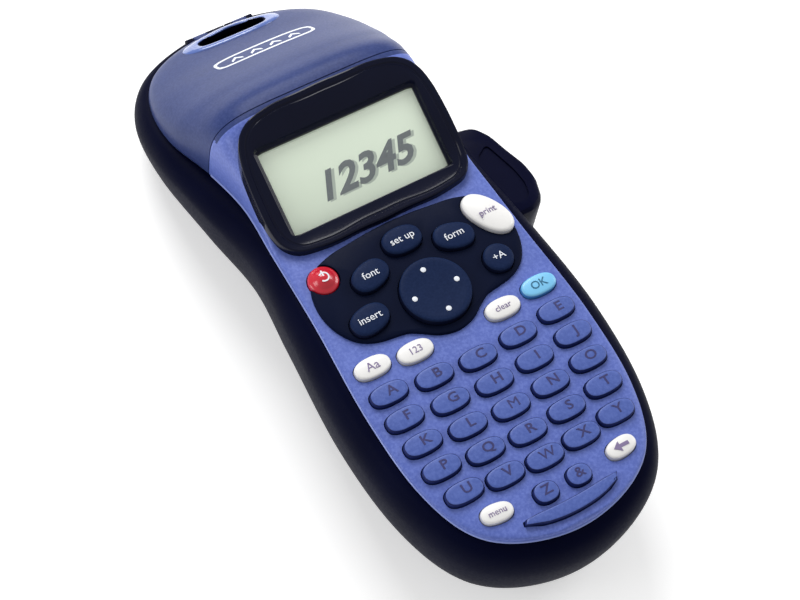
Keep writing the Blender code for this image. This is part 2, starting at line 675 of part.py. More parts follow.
def add_knuckles(lid):
    """Lid knuckles with pins that turn in the lugs."""
    axis = (HINGE_Y, HINGE_Z)
    for middle in (-HINGE_X, HINGE_X):
        lugs = lug_spans(middle)
        start, end = middle - KNUCKLE_WIDTH / 2, middle + KNUCKLE_WIDTH / 2
        barrel = rod("barrel", HINGE_RADIUS, start, end, axis, "X", 12)
        add(barrel, block("arm", (start, HINGE_Y - 2.6, HINGE_Z), (end, HINGE_Y + 0.2, HINGE_Z + 3.2)))
        pin_low, pin_high = lugs[0][0] + TOUCH_GAP, lugs[1][1] - TOUCH_GAP
        add(barrel, rod("pin", HINGE_PIN_RADIUS, pin_low, pin_high, axis, "X", 10))
        add(lid, barrel)


def cover_block(gap):
    half_x, low_y, high_y, top = bay_bounds()
    lap = COVER_LAP + gap
    return block("cover", (-half_x - lap, low_y - lap, -5.0), (half_x + lap, high_y + lap, WALL + 2.6))


def make_battery_cover():
    cover = keep(case_solid("battery_cover"), cover_block(0.0))
    cut(cover, case_solid("inside", WALL))
    finish(cover, "navy")


def platen_centre():
    """Axis of the platen, a radius off the label's path on its inner side."""
    run, rise = SLOT_Y - NIP[0], SLOT_RISE - NIP[1]
    length = math.hypot(run, rise)
    return NIP[0] - PLATEN_RADIUS * rise / length, NIP[1] + PLATEN_RADIUS * run / length


def gear_distance():
    return GEAR_MODULE * (GEAR_TEETH + PINION_TEETH) / 2 + 0.15


def motor_span():
    high = GEAR_X - GEAR_WIDTH / 2 - 0.6
    return high - MOTOR_LENGTH, high


def make_lid():
    lid = keep(case_solid("tape_lid"), parting_prism("above", True, TOUCH_GAP / 2))
    cut(lid, case_solid("inside", WALL))
    cut(lid, block("before", (-70, -130, -10), (70, SEAM_Y + TOUCH_GAP / 2, 90)))
    lip_outline = super_oval(LIP_SIZE, 2.2, 20, 0.0, (0, SLOT_Y + 0.4))
    lip = prism("lip", lip_outline, 10.0, 60.0)
    top = [(y, float(top_height(y)) + LIP_HEIGHT) for y in (80.0, 84.0, 88.0, 91.0, 94.0)]
    under = [(y, z - LIP_HEIGHT - 1.4) for y, z in top[::-1]]
    keep(lip, prism("lip_layer", top + under, -40.0, 40.0, "X"))
    add(lid, lip)
    slot = rounded_outline(SLOT_LENGTH / 2, SLOT_Y - SLOT_WIDTH / 2, SLOT_Y + SLOT_WIDTH / 2, 1.6, 3)
    cut(lid, prism("slot", slot, 5.0, 60.0))
    add_knuckles(lid)
    finish(lid, "slate", (0, HINGE_Y, HINGE_Z))


# ---- mechanism ----

def make_board():
    top = KEY_BASE_Z - KEY_TRAVEL - BOARD_DROP
    half_x, half_y = BOARD_SIZE[0] / 2, BOARD_SIZE[1] / 2
    outline = rounded_outline(half_x, BOARD_Y - half_y, BOARD_Y + half_y, 9.0, 3)
    finish(prism("main_board", outline, top - BOARD_THICK, top), "board")


def path_turn():
    """Turns a box's second and third axes to along and square to the label's path."""
    angle = math.atan2(SLOT_RISE - NIP[1], SLOT_Y - NIP[0])
    return Matrix.Rotation(angle, 4, "X")


def make_print_head():
    half = [size / 2 for size in HEAD_SIZE]
    head = block("print_head", (-half[0], -half[2], -half[1]), (half[0], half[2], half[1]))
    drop = Matrix.Translation(Vector((0, 0, -half[1] - TOUCH_GAP)) * MM)
    nip = Matrix.Translation(Vector((0, NIP[0], NIP[1])) * MM)
    head.data.transform(nip @ path_turn() @ drop)
    finish(head, "ivory")


def gear(name, teeth, low, high, centre, turn):
    """Spur gear about X with straight-sided teeth."""
    root, crest = GEAR_MODULE * (teeth / 2 - 1.2), GEAR_MODULE * (teeth / 2 + 0.8)
    outline = []
    for tooth in range(teeth):
        for share, radius in ((-0.30, root), (-0.13, crest), (0.13, crest), (0.30, root)):
            angle = turn + 2 * math.pi * (tooth + share) / teeth
            outline.append((centre[0] + radius * math.cos(angle), centre[1] + radius * math.sin(angle)))
    return prism(name, outline, low, high, "X")


def make_platen():
    centre = platen_centre()
    low, high = GEAR_X - GEAR_WIDTH / 2, GEAR_X + GEAR_WIDTH / 2
    platen = rod("platen_roller", PLATEN_RADIUS, -PLATEN_LENGTH / 2, PLATEN_LENGTH / 2, centre, "X", 20)
    add(platen, rod("shaft", SHAFT_RADIUS, low + 0.5, POST_X + POST_THICK, centre, "X", 12))
    add(platen, gear("wheel", GEAR_TEETH, low, high, centre, math.pi))
    finish(platen, "rubber", (0, *centre))


def make_motor():
    centre = platen_centre()
    centre = (centre[0] - gear_distance(), centre[1])
    low, high = motor_span()
    motor = rod("drive_motor", MOTOR_RADIUS, low, high, centre, "X", 20)
    finish(motor, "steel")
    half = GEAR_WIDTH / 2
    turn = math.pi / PINION_TEETH
    pinion = gear("motor_pinion", PINION_TEETH, GEAR_X - half, GEAR_X + half, centre, turn)
    finish(pinion, "ivory", (0, *centre))


def make_cassette():
    half = CASSETTE_WIDTH / 2
    case = prism("tape_cassette", CASSETTE_OUTLINE, -half, half, "X")
    room = rod("room", ROLL_RADIUS + 0.8, -half + CASSETTE_WALL, half + 1.0, ROLL_AXIS, "X", 24)
    cut(case, room)
    add(case, rod("hub", HUB_RADIUS, -half + CASSETTE_WALL / 2, half - CASSETTE_WALL, ROLL_AXIS, "X", 12))
    mouth_z = ROLL_AXIS[1] - ROLL_RADIUS
    half_tape = ROLL_WIDTH / 2 + 0.5
    cut(case, block("mouth", (-half_tape, ROLL_AXIS[0], mouth_z - 0.7), (half_tape, 72.0, mouth_z + 0.9)))
    finish(case, "ivory")
    roll = rod("tape_roll", ROLL_RADIUS, -ROLL_WIDTH / 2, ROLL_WIDTH / 2, ROLL_AXIS, "X", 24)
    cut(roll, rod("bore", HUB_RADIUS + TURN_GAP, -half, half, ROLL_AXIS, "X", 12))
    finish(roll, "paper", (0, *ROLL_AXIS))


def make_lever():
    """Cutter lever with rounded upper and lower edges and its pivot bore."""
    outline = np.array(LEVER_OUTLINE)
    middle = outline.mean(0)
    reach = np.abs(outline - middle).max(0)
    low, high = LEVER_Z
    levels = ((LEVER_ROUND, low), (0.0, low + LEVER_ROUND), (0.0, high - LEVER_ROUND), (LEVER_ROUND, high))
    mesh = bmesh.new()
    loops = []
    for inset, z in levels:
        ring_points = middle + (outline - middle) * (1 - inset / reach)
        loops.append([mesh.verts.new(Vector((x, y, z)) * MM) for x, y in ring_points])
    count = len(outline)
    for below, above in zip(loops, loops[1:]):
        for i in range(count):
            j = (i + 1) % count
            mesh.faces.new([below[i], below[j], above[j], above[i]])
    mesh.faces.new(loops[0][::-1])
    mesh.faces.new(loops[-1])
    lever = finish_mesh("cutter_lever", mesh)
    bore = rod("bore", LEVER_PIN_RADIUS + TURN_GAP, low - 1.0, high - 1.0 + TOUCH_GAP, LEVER_PIVOT, "Z", 12)
    cut(lever, bore)
    finish(lever, "navy", (*LEVER_PIVOT, (low + high) / 2))


def make_cutter_rod():
    bar = rod("cutter_rod", ROD_RADIUS, ROD_Y[0], ROD_Y[1], (ROD_X, ROD_Z), "Y", 12)
    collar_y = SPRING_Y[0] - TOUCH_GAP
    add(bar, rod("collar", SPRING_RADIUS + 0.8, collar_y - 2.0, collar_y, (ROD_X, ROD_Z), "Y", 12))
    add(bar, block("foot", (ROD_X, ROD_Y[0], ROD_Z - 1.6), (ROD_X + 4.8, ROD_Y[0] + 4.0, ROD_Z + 1.4)))
    add(bar, block("carrier", (ROD_X - 2.0, ROD_Y[1] - 4.0, ROD_Z - 1.4),
                   (ROD_X + 2.0, BLADE_EDGE_Y, ROD_Z + 1.4)))
    blade_back = platen_centre()[0] + PLATEN_RADIUS + TURN_GAP
    blade = prism("blade", [(ROD_X - 1.0, blade_back), (ROD_X - 1.0, BLADE_EDGE_Y),
                            (-8.0, BLADE_EDGE_Y - 0.8), (-8.0, blade_back)],
                  ROD_Z - BLADE_THICK / 2, ROD_Z + BLADE_THICK / 2)
    add(bar, blade)
    finish(bar, "steel")


def make_spring():
    """Return spring round the rod, between its collar and the stop."""
    curve = bpy.data.curves.new("return_spring", "CURVE")
    curve.dimensions = "3D"
    curve.bevel_depth = SPRING_WIRE * MM
    curve.bevel_resolution = 1
    curve.use_fill_caps = True
    steps = SPRING_TURNS * 10
    spline = curve.splines.new("POLY")
    spline.points.add(steps)
    low, high = SPRING_Y[0] + SPRING_WIRE, SPRING_Y[1] - SPRING_WIRE
    for k in range(steps + 1):
        angle = 2 * math.pi * SPRING_TURNS * k / steps
        place = Vector((ROD_X + SPRING_RADIUS * math.cos(angle), low + (high - low) * k / steps,
                        ROD_Z + SPRING_RADIUS * math.sin(angle))) * MM
        spline.points[k].co = (*place, 1)
    spring = bpy.data.objects.new("return_spring", curve)
    bpy.context.scene.collection.objects.link(spring)
    curve.materials.append(make_material("return_spring", "steel"))


# ---- running ----

def main():
    clear_scene()
    holes = make_keys()
    make_front_housing(holes)
    make_panel(holes)
    make_display()
    make_rear_housing()
    make_battery_cover()
    make_lid()
    make_board()
    make_print_head()
    make_platen()
    make_motor()
    make_cassette()
    make_lever()
    make_cutter_rod()
    make_spring()


main()
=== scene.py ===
# Hand-held label maker lying on its back: smooth shells, keys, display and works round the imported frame.
# Row frame: +X to the right of the keypad, +Y towards the head, +Z out of the keypad.
import math

import bmesh
import bpy
import numpy as np
from mathutils import Matrix, Vector


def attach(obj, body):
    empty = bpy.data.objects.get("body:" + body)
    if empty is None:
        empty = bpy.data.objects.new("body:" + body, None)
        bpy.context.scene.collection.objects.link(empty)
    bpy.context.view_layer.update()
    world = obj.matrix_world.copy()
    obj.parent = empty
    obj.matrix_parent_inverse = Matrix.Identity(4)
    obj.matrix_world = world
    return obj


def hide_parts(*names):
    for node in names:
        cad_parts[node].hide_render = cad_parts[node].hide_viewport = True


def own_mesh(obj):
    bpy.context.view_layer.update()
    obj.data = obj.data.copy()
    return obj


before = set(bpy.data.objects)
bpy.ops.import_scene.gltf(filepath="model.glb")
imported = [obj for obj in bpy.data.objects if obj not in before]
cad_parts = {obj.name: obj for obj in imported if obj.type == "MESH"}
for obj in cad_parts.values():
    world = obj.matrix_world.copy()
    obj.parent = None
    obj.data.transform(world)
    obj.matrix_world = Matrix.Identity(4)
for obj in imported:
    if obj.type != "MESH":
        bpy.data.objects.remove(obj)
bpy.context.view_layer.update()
scene = bpy.context.scene
mm = 0.001               # shapes below are written in millimetres

view = {"place": (-0.17376, -0.20353, 0.49117), "turn": (0.49538, -0.09765, -0.54192), "lens": 90}
studio = {
    "floor": 3.0, "floorColour": (0.90, 0.90, 0.90, 1), "floorGlow": 0.42, "sky": 0.42,
    "softboxes": [  # name, place, target, side, watts
        ("rearBox", (0.16, 0.78, 0.72), (0.0, 0.0, 0.03), 0.55, 8.0),
        ("leftBox", (-0.72, 0.20, 0.40), (0.0, 0.05, 0.03), 0.40, 1.6),
        ("rightBox", (0.80, 0.05, 0.50), (0.0, 0.0, 0.03), 0.40, 2.2),
    ],
}


def makeCamera():
    lens = bpy.data.cameras.new("camera")
    lens.lens = view["lens"]
    lens.sensor_width = 36
    lens.clip_start = 0.01
    camera = bpy.data.objects.new("camera", lens)
    camera.location = view["place"]
    camera.rotation_euler = view["turn"]
    scene.collection.objects.link(camera)
    scene.camera = camera


def makeStudio():
    world = bpy.data.worlds.new("studio")
    world.use_nodes = True
    sky = world.node_tree.nodes["Background"]
    sky.inputs["Color"].default_value = (1, 1, 1, 1)
    sky.inputs["Strength"].default_value = studio["sky"]
    scene.world = world
    scene.view_settings.view_transform = "Standard"
    bm = bmesh.new()
    bmesh.ops.create_grid(bm, x_segments=2, y_segments=2, size=studio["floor"])
    mesh = bpy.data.meshes.new("floor")
    bm.to_mesh(mesh)
    bm.free()
    floor = bpy.data.objects.new("floor", mesh)
    scene.collection.objects.link(floor)
    material = bpy.data.materials.new("floorPaper")
    material.use_nodes = True
    shader = material.node_tree.nodes["Principled BSDF"]
    shader.inputs["Base Color"].default_value = studio["floorColour"]
    shader.inputs["Roughness"].default_value = 0.9
    shader.inputs["Emission Color"].default_value = (1, 1, 1, 1)
    shader.inputs["Emission Strength"].default_value = studio["floorGlow"]
    mesh.materials.append(material)
    for name, place, target, side, watts in studio["softboxes"]:
        light = bpy.data.lights.new(name, "AREA")
        light.shape = "SQUARE"
        light.size = side
        light.energy = watts
        holder = bpy.data.objects.new(name, light)
        holder.location = place
        aim = Vector(target) - Vector(place)
        holder.rotation_euler = aim.to_track_quat("-Z", "Y").to_euler()
        scene.collection.objects.link(holder)


makeCamera()
makeStudio()
print("camera and studio ready")


finishes = {}


def makeFinish(name, spec):
    material = bpy.data.materials.new(name)
    material.use_nodes = True
    nodes, links = material.node_tree.nodes, material.node_tree.links
    shader = nodes["Principled BSDF"]
    coords = nodes.new("ShaderNodeTexCoord")

    def noise(scale, detail):
        texture = nodes.new("ShaderNodeTexNoise")
        texture.inputs["Scale"].default_value = scale
        texture.inputs["Detail"].default_value = detail
        links.new(coords.outputs["Object"], texture.inputs["Vector"])
        return texture

    def span(source, low, high, fromLow=0.3, fromHigh=0.7):
        scaled = nodes.new("ShaderNodeMapRange")
        scaled.inputs["From Min"].default_value = fromLow
        scaled.inputs["From Max"].default_value = fromHigh
        scaled.inputs["To Min"].default_value = low
        scaled.inputs["To Max"].default_value = high
        links.new(source, scaled.inputs["Value"])
        return scaled.outputs["Result"]

    def mix(share, first, second):
        blend = nodes.new("ShaderNodeMix")
        blend.data_type = "RGBA"
        links.new(share, blend.inputs["Factor"])
        for socket, value in ((blend.inputs["A"], first), (blend.inputs["B"], second)):
            if isinstance(value, bpy.types.NodeSocket):
                links.new(value, socket)
            else:
                socket.default_value = (*value, 1)
        return blend.outputs["Result"]

    broad = noise(spec.get("cloud", 60.0), 3.0)                 # slow drift of the moulding's colour
    colour = mix(span(broad.outputs["Fac"], 0.0, 1.0), spec["colour"], spec["tint"])
    if "flake" in spec:                                         # pearl flakes in the plastic
        fine = noise(spec["flakeScale"], 2.0)
        colour = mix(span(fine.outputs["Fac"], 0.0, spec["flake"], 0.38, 0.68), colour, spec["flakeColour"])
    if "bands" in spec:                                         # other materials side by side along X
        apart = nodes.new("ShaderNodeSeparateXYZ")
        links.new(coords.outputs["Object"], apart.inputs["Vector"])
        for low, high, shade in spec["bands"]:
            edge = nodes.new("ShaderNodeMath")
            edge.operation = "COMPARE"
            edge.inputs[1].default_value = (low + high) / 2 * mm
            edge.inputs[2].default_value = (high - low) / 2 * mm
            links.new(apart.outputs["X"], edge.inputs[0])
            colour = mix(edge.outputs["Value"], colour, shade)
    links.new(colour, shader.inputs["Base Color"])
    skin = noise(spec.get("grainScale", 2200.0), 2.0)
    rough = spec["roughness"]
    links.new(span(skin.outputs["Fac"], rough * 0.88, min(1.0, rough * 1.12)), shader.inputs["Roughness"])
    bump = nodes.new("ShaderNodeBump")
    bump.inputs["Strength"].default_value = spec.get("grain", 0.06)
    bump.inputs["Distance"].default_value = 0.0001
    links.new(skin.outputs["Fac"], bump.inputs["Height"])
    links.new(bump.outputs["Normal"], shader.inputs["Normal"])
    shader.inputs["Metallic"].default_value = spec.get("metallic", 0.0)
    shader.inputs["Specular IOR Level"].default_value = spec.get("specular", 0.5)
    shader.inputs["Coat Weight"].default_value = spec.get("coat", 0.0)
    shader.inputs["Coat Roughness"].default_value = spec.get("coatRoughness", 0.08)
    shader.inputs["Alpha"].default_value = spec.get("alpha", 1.0)
    # emission from the base colour: painted glow, for a display with no lamp of its own
    if spec.get("glow"):
        links.new(colour, shader.inputs["Emission Color"])
        shader.inputs["Emission Strength"].default_value = spec["glow"]
    return material


finishSpecs = {
    "periwinkle": dict(colour=(0.090, 0.135, 0.460), tint=(0.100, 0.150, 0.500), roughness=0.40, flake=0.55,
                       flakeScale=1300.0, flakeColour=(0.170, 0.235, 0.640), grain=0.12, specular=0.35),
    "slatePearl": dict(colour=(0.030, 0.046, 0.150), tint=(0.036, 0.055, 0.175), roughness=0.34, flake=0.40,
                       flakeScale=1300.0, flakeColour=(0.062, 0.086, 0.235), grain=0.06, specular=0.10),
    "keyBlue": dict(colour=(0.062, 0.104, 0.365), tint=(0.072, 0.118, 0.400), roughness=0.42, flake=0.45,
                    flakeScale=1300.0, flakeColour=(0.120, 0.180, 0.520), grain=0.12, specular=0.30),
    # lighter than the periwinkle face: painted highlight for the rim bead
    "rimPearl": dict(colour=(0.230, 0.300, 0.680), tint=(0.270, 0.340, 0.740), roughness=0.30, grain=0.05,
                     coat=0.3),
    "navyShell": dict(colour=(0.0012, 0.0020, 0.0135), tint=(0.0018, 0.0028, 0.0170), roughness=0.50,
                      grain=0.20, grainScale=1400.0, specular=0.03),
    "navyGrip": dict(colour=(0.0015, 0.0022, 0.0170), tint=(0.0022, 0.0032, 0.0220), roughness=0.42,
                     grain=0.15, grainScale=1500.0, specular=0.05),
    "panelNavy": dict(colour=(0.0030, 0.0055, 0.0200), tint=(0.0040, 0.0070, 0.0250), roughness=0.45,
                      grain=0.12, specular=0.04),
    "keyNavy": dict(colour=(0.0065, 0.0150, 0.0520), tint=(0.0080, 0.0180, 0.0620), roughness=0.48,
                    flake=0.25, flakeScale=1600.0, flakeColour=(0.017, 0.032, 0.095), grain=0.12,
                    specular=0.06),
    # darker copy of keyNavy for the key walls: painted shade
    "keyNavyShadedSide": dict(colour=(0.0030, 0.0050, 0.020), tint=(0.0040, 0.0065, 0.026), roughness=0.5,
                        grain=0.08, specular=0.1),
    "bezelGloss": dict(colour=(0.0030, 0.0042, 0.016), tint=(0.0040, 0.0055, 0.020), roughness=0.18,
                       grain=0.015, specular=0.16, coat=0.05, coatRoughness=0.05),
    # darker copy of keyBlue for the key walls and lower rounding: painted shade
    "keyBlueShadedSide": dict(colour=(0.006, 0.012, 0.085), tint=(0.009, 0.018, 0.110), roughness=0.50, grain=0.08,
                        specular=0.2),
    "keyWhite": dict(colour=(0.860, 0.850, 0.830), tint=(0.900, 0.890, 0.880), roughness=0.35, grain=0.06,
                     coat=0.1),
    # darker grey copy of keyWhite for the key walls: painted shade
    "keyWhiteShadedSide": dict(colour=(0.600, 0.600, 0.640), tint=(0.660, 0.660, 0.700), roughness=0.45,
                         grain=0.06),
    "keyRed": dict(colour=(0.560, 0.012, 0.030), tint=(0.640, 0.018, 0.040), roughness=0.22, grain=0.04,
                   coat=0.5),
    "keyCyan": dict(colour=(0.170, 0.520, 0.840), tint=(0.210, 0.580, 0.880), roughness=0.35, grain=0.06,
                    coat=0.1),
    # deeper blue copy of keyCyan for the key walls: painted shade
    "keyCyanShadedSide": dict(colour=(0.050, 0.230, 0.560), tint=(0.060, 0.260, 0.600), roughness=0.45, grain=0.06),
    "inkPlum": dict(colour=(0.022, 0.022, 0.120), tint=(0.030, 0.030, 0.150), roughness=0.6, grain=0.05),
    "inkMauve": dict(colour=(0.200, 0.150, 0.300), tint=(0.240, 0.190, 0.340), roughness=0.6, grain=0.05),
    "inkWhite": dict(colour=(0.780, 0.820, 0.880), tint=(0.860, 0.880, 0.920), roughness=0.55, grain=0.05),
    "inkTeal": dict(colour=(0.010, 0.110, 0.200), tint=(0.015, 0.130, 0.240), roughness=0.6, grain=0.05),
    # lighter than the lid's slatePearl: painted highlight on the lip round the slot
    "lipPaintedHighlight": dict(colour=(0.090, 0.150, 0.430), tint=(0.110, 0.180, 0.500), roughness=0.18, grain=0.04,
                     coat=0.8),
    # glows a little though unlit: painted light on the display
    "lcdGlass": dict(colour=(0.690, 0.780, 0.640), tint=(0.720, 0.810, 0.670), roughness=0.35, grain=0.02,
                     cloud=30.0, flake=0.15, flakeScale=2600.0, flakeColour=(0.60, 0.70, 0.58), glow=0.20),
    "lcdInk": dict(colour=(0.085, 0.105, 0.120), tint=(0.100, 0.120, 0.140), roughness=0.5, grain=0.02),
    "lcdShade": dict(colour=(0.430, 0.500, 0.430), tint=(0.460, 0.530, 0.460), roughness=0.5, grain=0.02),
    "lens": dict(colour=(0.90, 0.95, 0.90), tint=(0.92, 0.96, 0.92), roughness=0.05, grain=0.005, alpha=0.06),
    "boardGreen": dict(colour=(0.010, 0.120, 0.035), tint=(0.015, 0.160, 0.050), roughness=0.35, grain=0.2,
                       cloud=500.0, flake=0.5, flakeScale=700.0, flakeColour=(0.030, 0.240, 0.080)),
    "steel": dict(colour=(0.55, 0.55, 0.57), tint=(0.62, 0.62, 0.64), roughness=0.28, metallic=1.0,
                  grain=0.08, grainScale=3000.0),
    "springSteel": dict(colour=(0.42, 0.42, 0.44), tint=(0.50, 0.50, 0.52), roughness=0.25, metallic=1.0,
                        grain=0.05),
    "acetal": dict(colour=(0.74, 0.72, 0.66), tint=(0.78, 0.76, 0.70), roughness=0.45, grain=0.06),
    "headCeramic": dict(colour=(0.70, 0.69, 0.66), tint=(0.76, 0.75, 0.72), roughness=0.35, grain=0.1,
                        bands=[(-6.5, 6.5, (0.10, 0.08, 0.07))]),
    "platenRubber": dict(colour=(0.55, 0.55, 0.57), tint=(0.60, 0.60, 0.62), roughness=0.55, grain=0.15,
                         bands=[(-8.3, 8.3, (0.018, 0.018, 0.020)), (-14.6, -11.4, (0.70, 0.68, 0.60))]),
    "cassetteIvory": dict(colour=(0.68, 0.68, 0.66), tint=(0.74, 0.74, 0.72), roughness=0.4, grain=0.08),
    "paper": dict(colour=(0.80, 0.80, 0.78), tint=(0.86, 0.86, 0.84), roughness=0.85, grain=0.3,
                  grainScale=900.0),
    "chip": dict(colour=(0.012, 0.012, 0.014), tint=(0.020, 0.020, 0.022), roughness=0.5, grain=0.15),
    "foil": dict(colour=(0.75, 0.72, 0.62), tint=(0.82, 0.79, 0.70), roughness=0.3, metallic=1.0, grain=0.05),
}
for finishName, finishSpec in finishSpecs.items():
    finishes[finishName] = makeFinish(finishName, finishSpec)
print("finishes ready:", len(finishes))


def curveThrough(table, at):                                    # cubic through (place, value) pairs
    places, values = np.array(table, float).T
    slopes = np.gradient(values, places)
    at = np.clip(at, places[0], places[-1])
    index = np.clip(np.searchsorted(places, at) - 1, 0, len(places) - 2)
    gap = places[index + 1] - places[index]
    t = (at - places[index]) / gap
    low = values[index] * (2 * t**3 - 3 * t**2 + 1) + slopes[index] * gap * (t**3 - 2 * t**2 + t)
    high = values[index + 1] * (3 * t**2 - 2 * t**3) + slopes[index + 1] * gap * (t**3 - t**2)
    return low + high


def roundOval(size, power, angle=0.0, centre=(0.0, 0.0), count=48, grow=0.0):
    turn = np.arange(count) * 2 * math.pi / count
    halfX, halfY = size[0] / 2 + grow, size[1] / 2 + grow
    reach = (np.abs(np.cos(turn) / halfX) ** power + np.abs(np.sin(turn) / halfY) ** power) ** (-1 / power)
    x, y = reach * np.cos(turn), reach * np.sin(turn)
    return np.stack([centre[0] + x * math.cos(angle) - y * math.sin(angle),
                     centre[1] + x * math.sin(angle) + y * math.cos(angle)], 1)


def roundedRectangle(half, corner, centre=(0.0, 0.0), perCorner=10):
    points = []
    for startAngle, sx, sy in ((0, 1, 1), (90, -1, 1), (180, -1, -1), (270, 1, -1)):
        for step in range(perCorner + 1):
            angle = math.radians(startAngle + 90 * step / perCorner)
            points.append((centre[0] + sx * (half[0] - corner) + corner * math.cos(angle),
                           centre[1] + sy * (half[1] - corner) + corner * math.sin(angle)))
    return np.array(points)


def closedOutline(centre, points, count=160, grow=0.0, mirrored=True):   # smooth outline round a centre
    points = list(points)
    if mirrored:
        points += [(-x, y) for x, y in points if abs(x) > 1e-6]
    angles = sorted((math.atan2(y - centre[1], x - centre[0]), math.hypot(x - centre[0], y - centre[1]))
                    for x, y in points)
    before = [(angle - 2 * math.pi, reach) for angle, reach in angles[-3:]]
    after = [(angle + 2 * math.pi, reach) for angle, reach in angles[:3]]
    turn = -math.pi + np.arange(count) * 2 * math.pi / count
    reach = curveThrough(before + angles + after, turn) + grow
    return np.stack([centre[0] + reach * np.cos(turn), centre[1] + reach * np.sin(turn)], 1)


def lifted(outline, height):                                    # outline in plan at a height or heights
    heights = np.broadcast_to(np.asarray(height, float), (len(outline),))
    return np.column_stack([outline, heights])


def stackRings(bm, rings, capFirst=True, capLast=True, material=0):
    faces = []
    verts = bmesh.ops.create_circle(bm, cap_ends=False, segments=len(rings[0]), radius=1.0)["verts"]
    order = dict(zip(verts, range(len(verts))))
    for vert, index in order.items():
        vert.co = Vector(rings[0][index]) * mm
    edges = list({edge for vert in verts for edge in vert.link_edges})
    if capFirst:
        faces += bmesh.ops.contextual_create(bm, geom=edges)["faces"]
    for ring in rings[1:]:
        spots = {vert.co.to_tuple(9): index for vert, index in order.items()}
        grown = bmesh.ops.extrude_edge_only(bm, edges=edges)["geom"]
        fresh = [item for item in grown if isinstance(item, bmesh.types.BMVert)]
        faces += [item for item in grown if isinstance(item, bmesh.types.BMFace)]
        order = {vert: spots[vert.co.to_tuple(9)] for vert in fresh}
        for vert, index in order.items():
            vert.co = Vector(ring[index]) * mm
        edges = [edge for edge in {edge for vert in fresh for edge in vert.link_edges}
                 if edge.verts[0] in order and edge.verts[1] in order]
    if capLast:
        faces += bmesh.ops.contextual_create(bm, geom=edges)["faces"]
    for face in faces:
        face.material_index = material
    return faces


def addBlock(bm, low, high, bevel=0.0, material=0, segments=2):
    size = [(b - a) * mm for a, b in zip(low, high)]
    middle = Vector([(a + b) / 2 * mm for a, b in zip(low, high)])
    place = Matrix.Translation(middle) @ Matrix.Diagonal((*size, 1))
    made = bmesh.ops.create_cube(bm, size=1.0, matrix=place)["verts"]
    faces = list({face for vert in made for face in vert.link_faces})
    for face in faces:
        face.material_index = material
    if bevel:
        edges = list({edge for vert in made for edge in vert.link_edges})
        bmesh.ops.bevel(bm, geom=edges, offset=bevel * mm, affect="EDGES", segments=segments, profile=0.5,
                        material=-1)


def addBar(bm, radius, low, high, centre, axis="X", sides=32, bevel=0.0, material=0):
    middle = (low + high) / 2
    place = {"X": (middle, *centre), "Y": (centre[0], middle, centre[1]), "Z": (*centre, middle)}[axis]
    turn = {"X": Matrix.Rotation(math.pi / 2, 4, "Y"), "Y": Matrix.Rotation(-math.pi / 2, 4, "X"),
            "Z": Matrix.Identity(4)}[axis]
    made = bmesh.ops.create_cone(bm, cap_ends=True, segments=sides, radius1=radius * mm, radius2=radius * mm,
                                 depth=(high - low) * mm,
                                 matrix=Matrix.Translation(Vector(place) * mm) @ turn)
    for face in {face for vert in made["verts"] for face in vert.link_faces}:
        face.material_index = material
    if bevel:
        rims = [edge for edge in {edge for vert in made["verts"] for edge in vert.link_edges}
                if any(len(face.verts) > 4 for face in edge.link_faces)]
        bmesh.ops.bevel(bm, geom=rims, offset=bevel * mm, affect="EDGES", segments=2, profile=0.5,
                        material=-1)


def addLegend(bm, words, size, place, material, lean=0.0, turn=0.0, film=0.03, wide=1.0, bold=0.0):
    text = bpy.data.curves.new("legend", "FONT")
    text.body = words
    text.size = size * mm
    text.align_x, text.align_y = "CENTER", "CENTER"
    text.extrude = film * mm
    text.shear = lean
    text.offset = bold * mm
    text.resolution_u = 3
    holder = bpy.data.objects.new("legend", text)
    scene.collection.objects.link(holder)
    graph = bpy.context.evaluated_depsgraph_get()
    mesh = bpy.data.meshes.new_from_object(holder.evaluated_get(graph))
    mesh.transform(Matrix.Diagonal((wide, 1, 1, 1)))
    base = Matrix.Translation(Vector(place) * mm)
    mesh.transform(base @ Matrix.Rotation(turn, 4, "Z"))
    before = set(bm.faces)
    bm.from_mesh(mesh)
    for face in bm.faces:
        if face not in before:
            face.material_index = material
    bpy.data.objects.remove(holder, do_unlink=True)
    bpy.data.curves.remove(text)
    bpy.data.meshes.remove(mesh)


def newObject(name, bm, outward=True):
    if outward:
        bmesh.ops.recalc_face_normals(bm, faces=bm.faces[:])
    mesh = bpy.data.meshes.new(name)
    bm.to_mesh(mesh)
    bm.free()
    obj = bpy.data.objects.new(name, mesh)
    scene.collection.objects.link(obj)
    return obj


def settle(obj):                                                # applies what modifiers are on the object
    graph = bpy.context.evaluated_depsgraph_get()
    mesh = bpy.data.meshes.new_from_object(obj.evaluated_get(graph))
    obj.modifiers.clear()
    obj.data = mesh


def carve(obj, bm, operation="DIFFERENCE", solver="MANIFOLD"):  # cuts the object with the shapes in bm
    cutter = newObject("cutter", bm)
    modifier = obj.modifiers.new("carve", "BOOLEAN")
    modifier.operation = operation
    modifier.object = cutter
    modifier.solver = solver
    before = len(obj.data.polygons)
    settle(obj)
    bpy.data.objects.remove(cutter, do_unlink=True)
    print("  carved", obj.name, operation.lower(), before, "->", len(obj.data.polygons), "faces")


def thicken(obj, wall):
    modifier = obj.modifiers.new("wall", "SOLIDIFY")
    modifier.thickness = wall * mm
    modifier.offset = -1.0
    settle(obj)


def fit(obj, body, surfaces, stands=(), sharp=32):        # finishes, shading, body and slot of a piece
    for index, name in enumerate([surfaces] if isinstance(surfaces, str) else surfaces):
        if index == len(obj.data.materials):
            obj.data.materials.append(None)
        obj.data.materials[index] = finishes[name]
    obj.data.shade_smooth()
    obj.data.set_sharp_from_angle(angle=math.radians(sharp))
    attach(obj, body)
    if stands:
        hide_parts(*stands)
    return obj


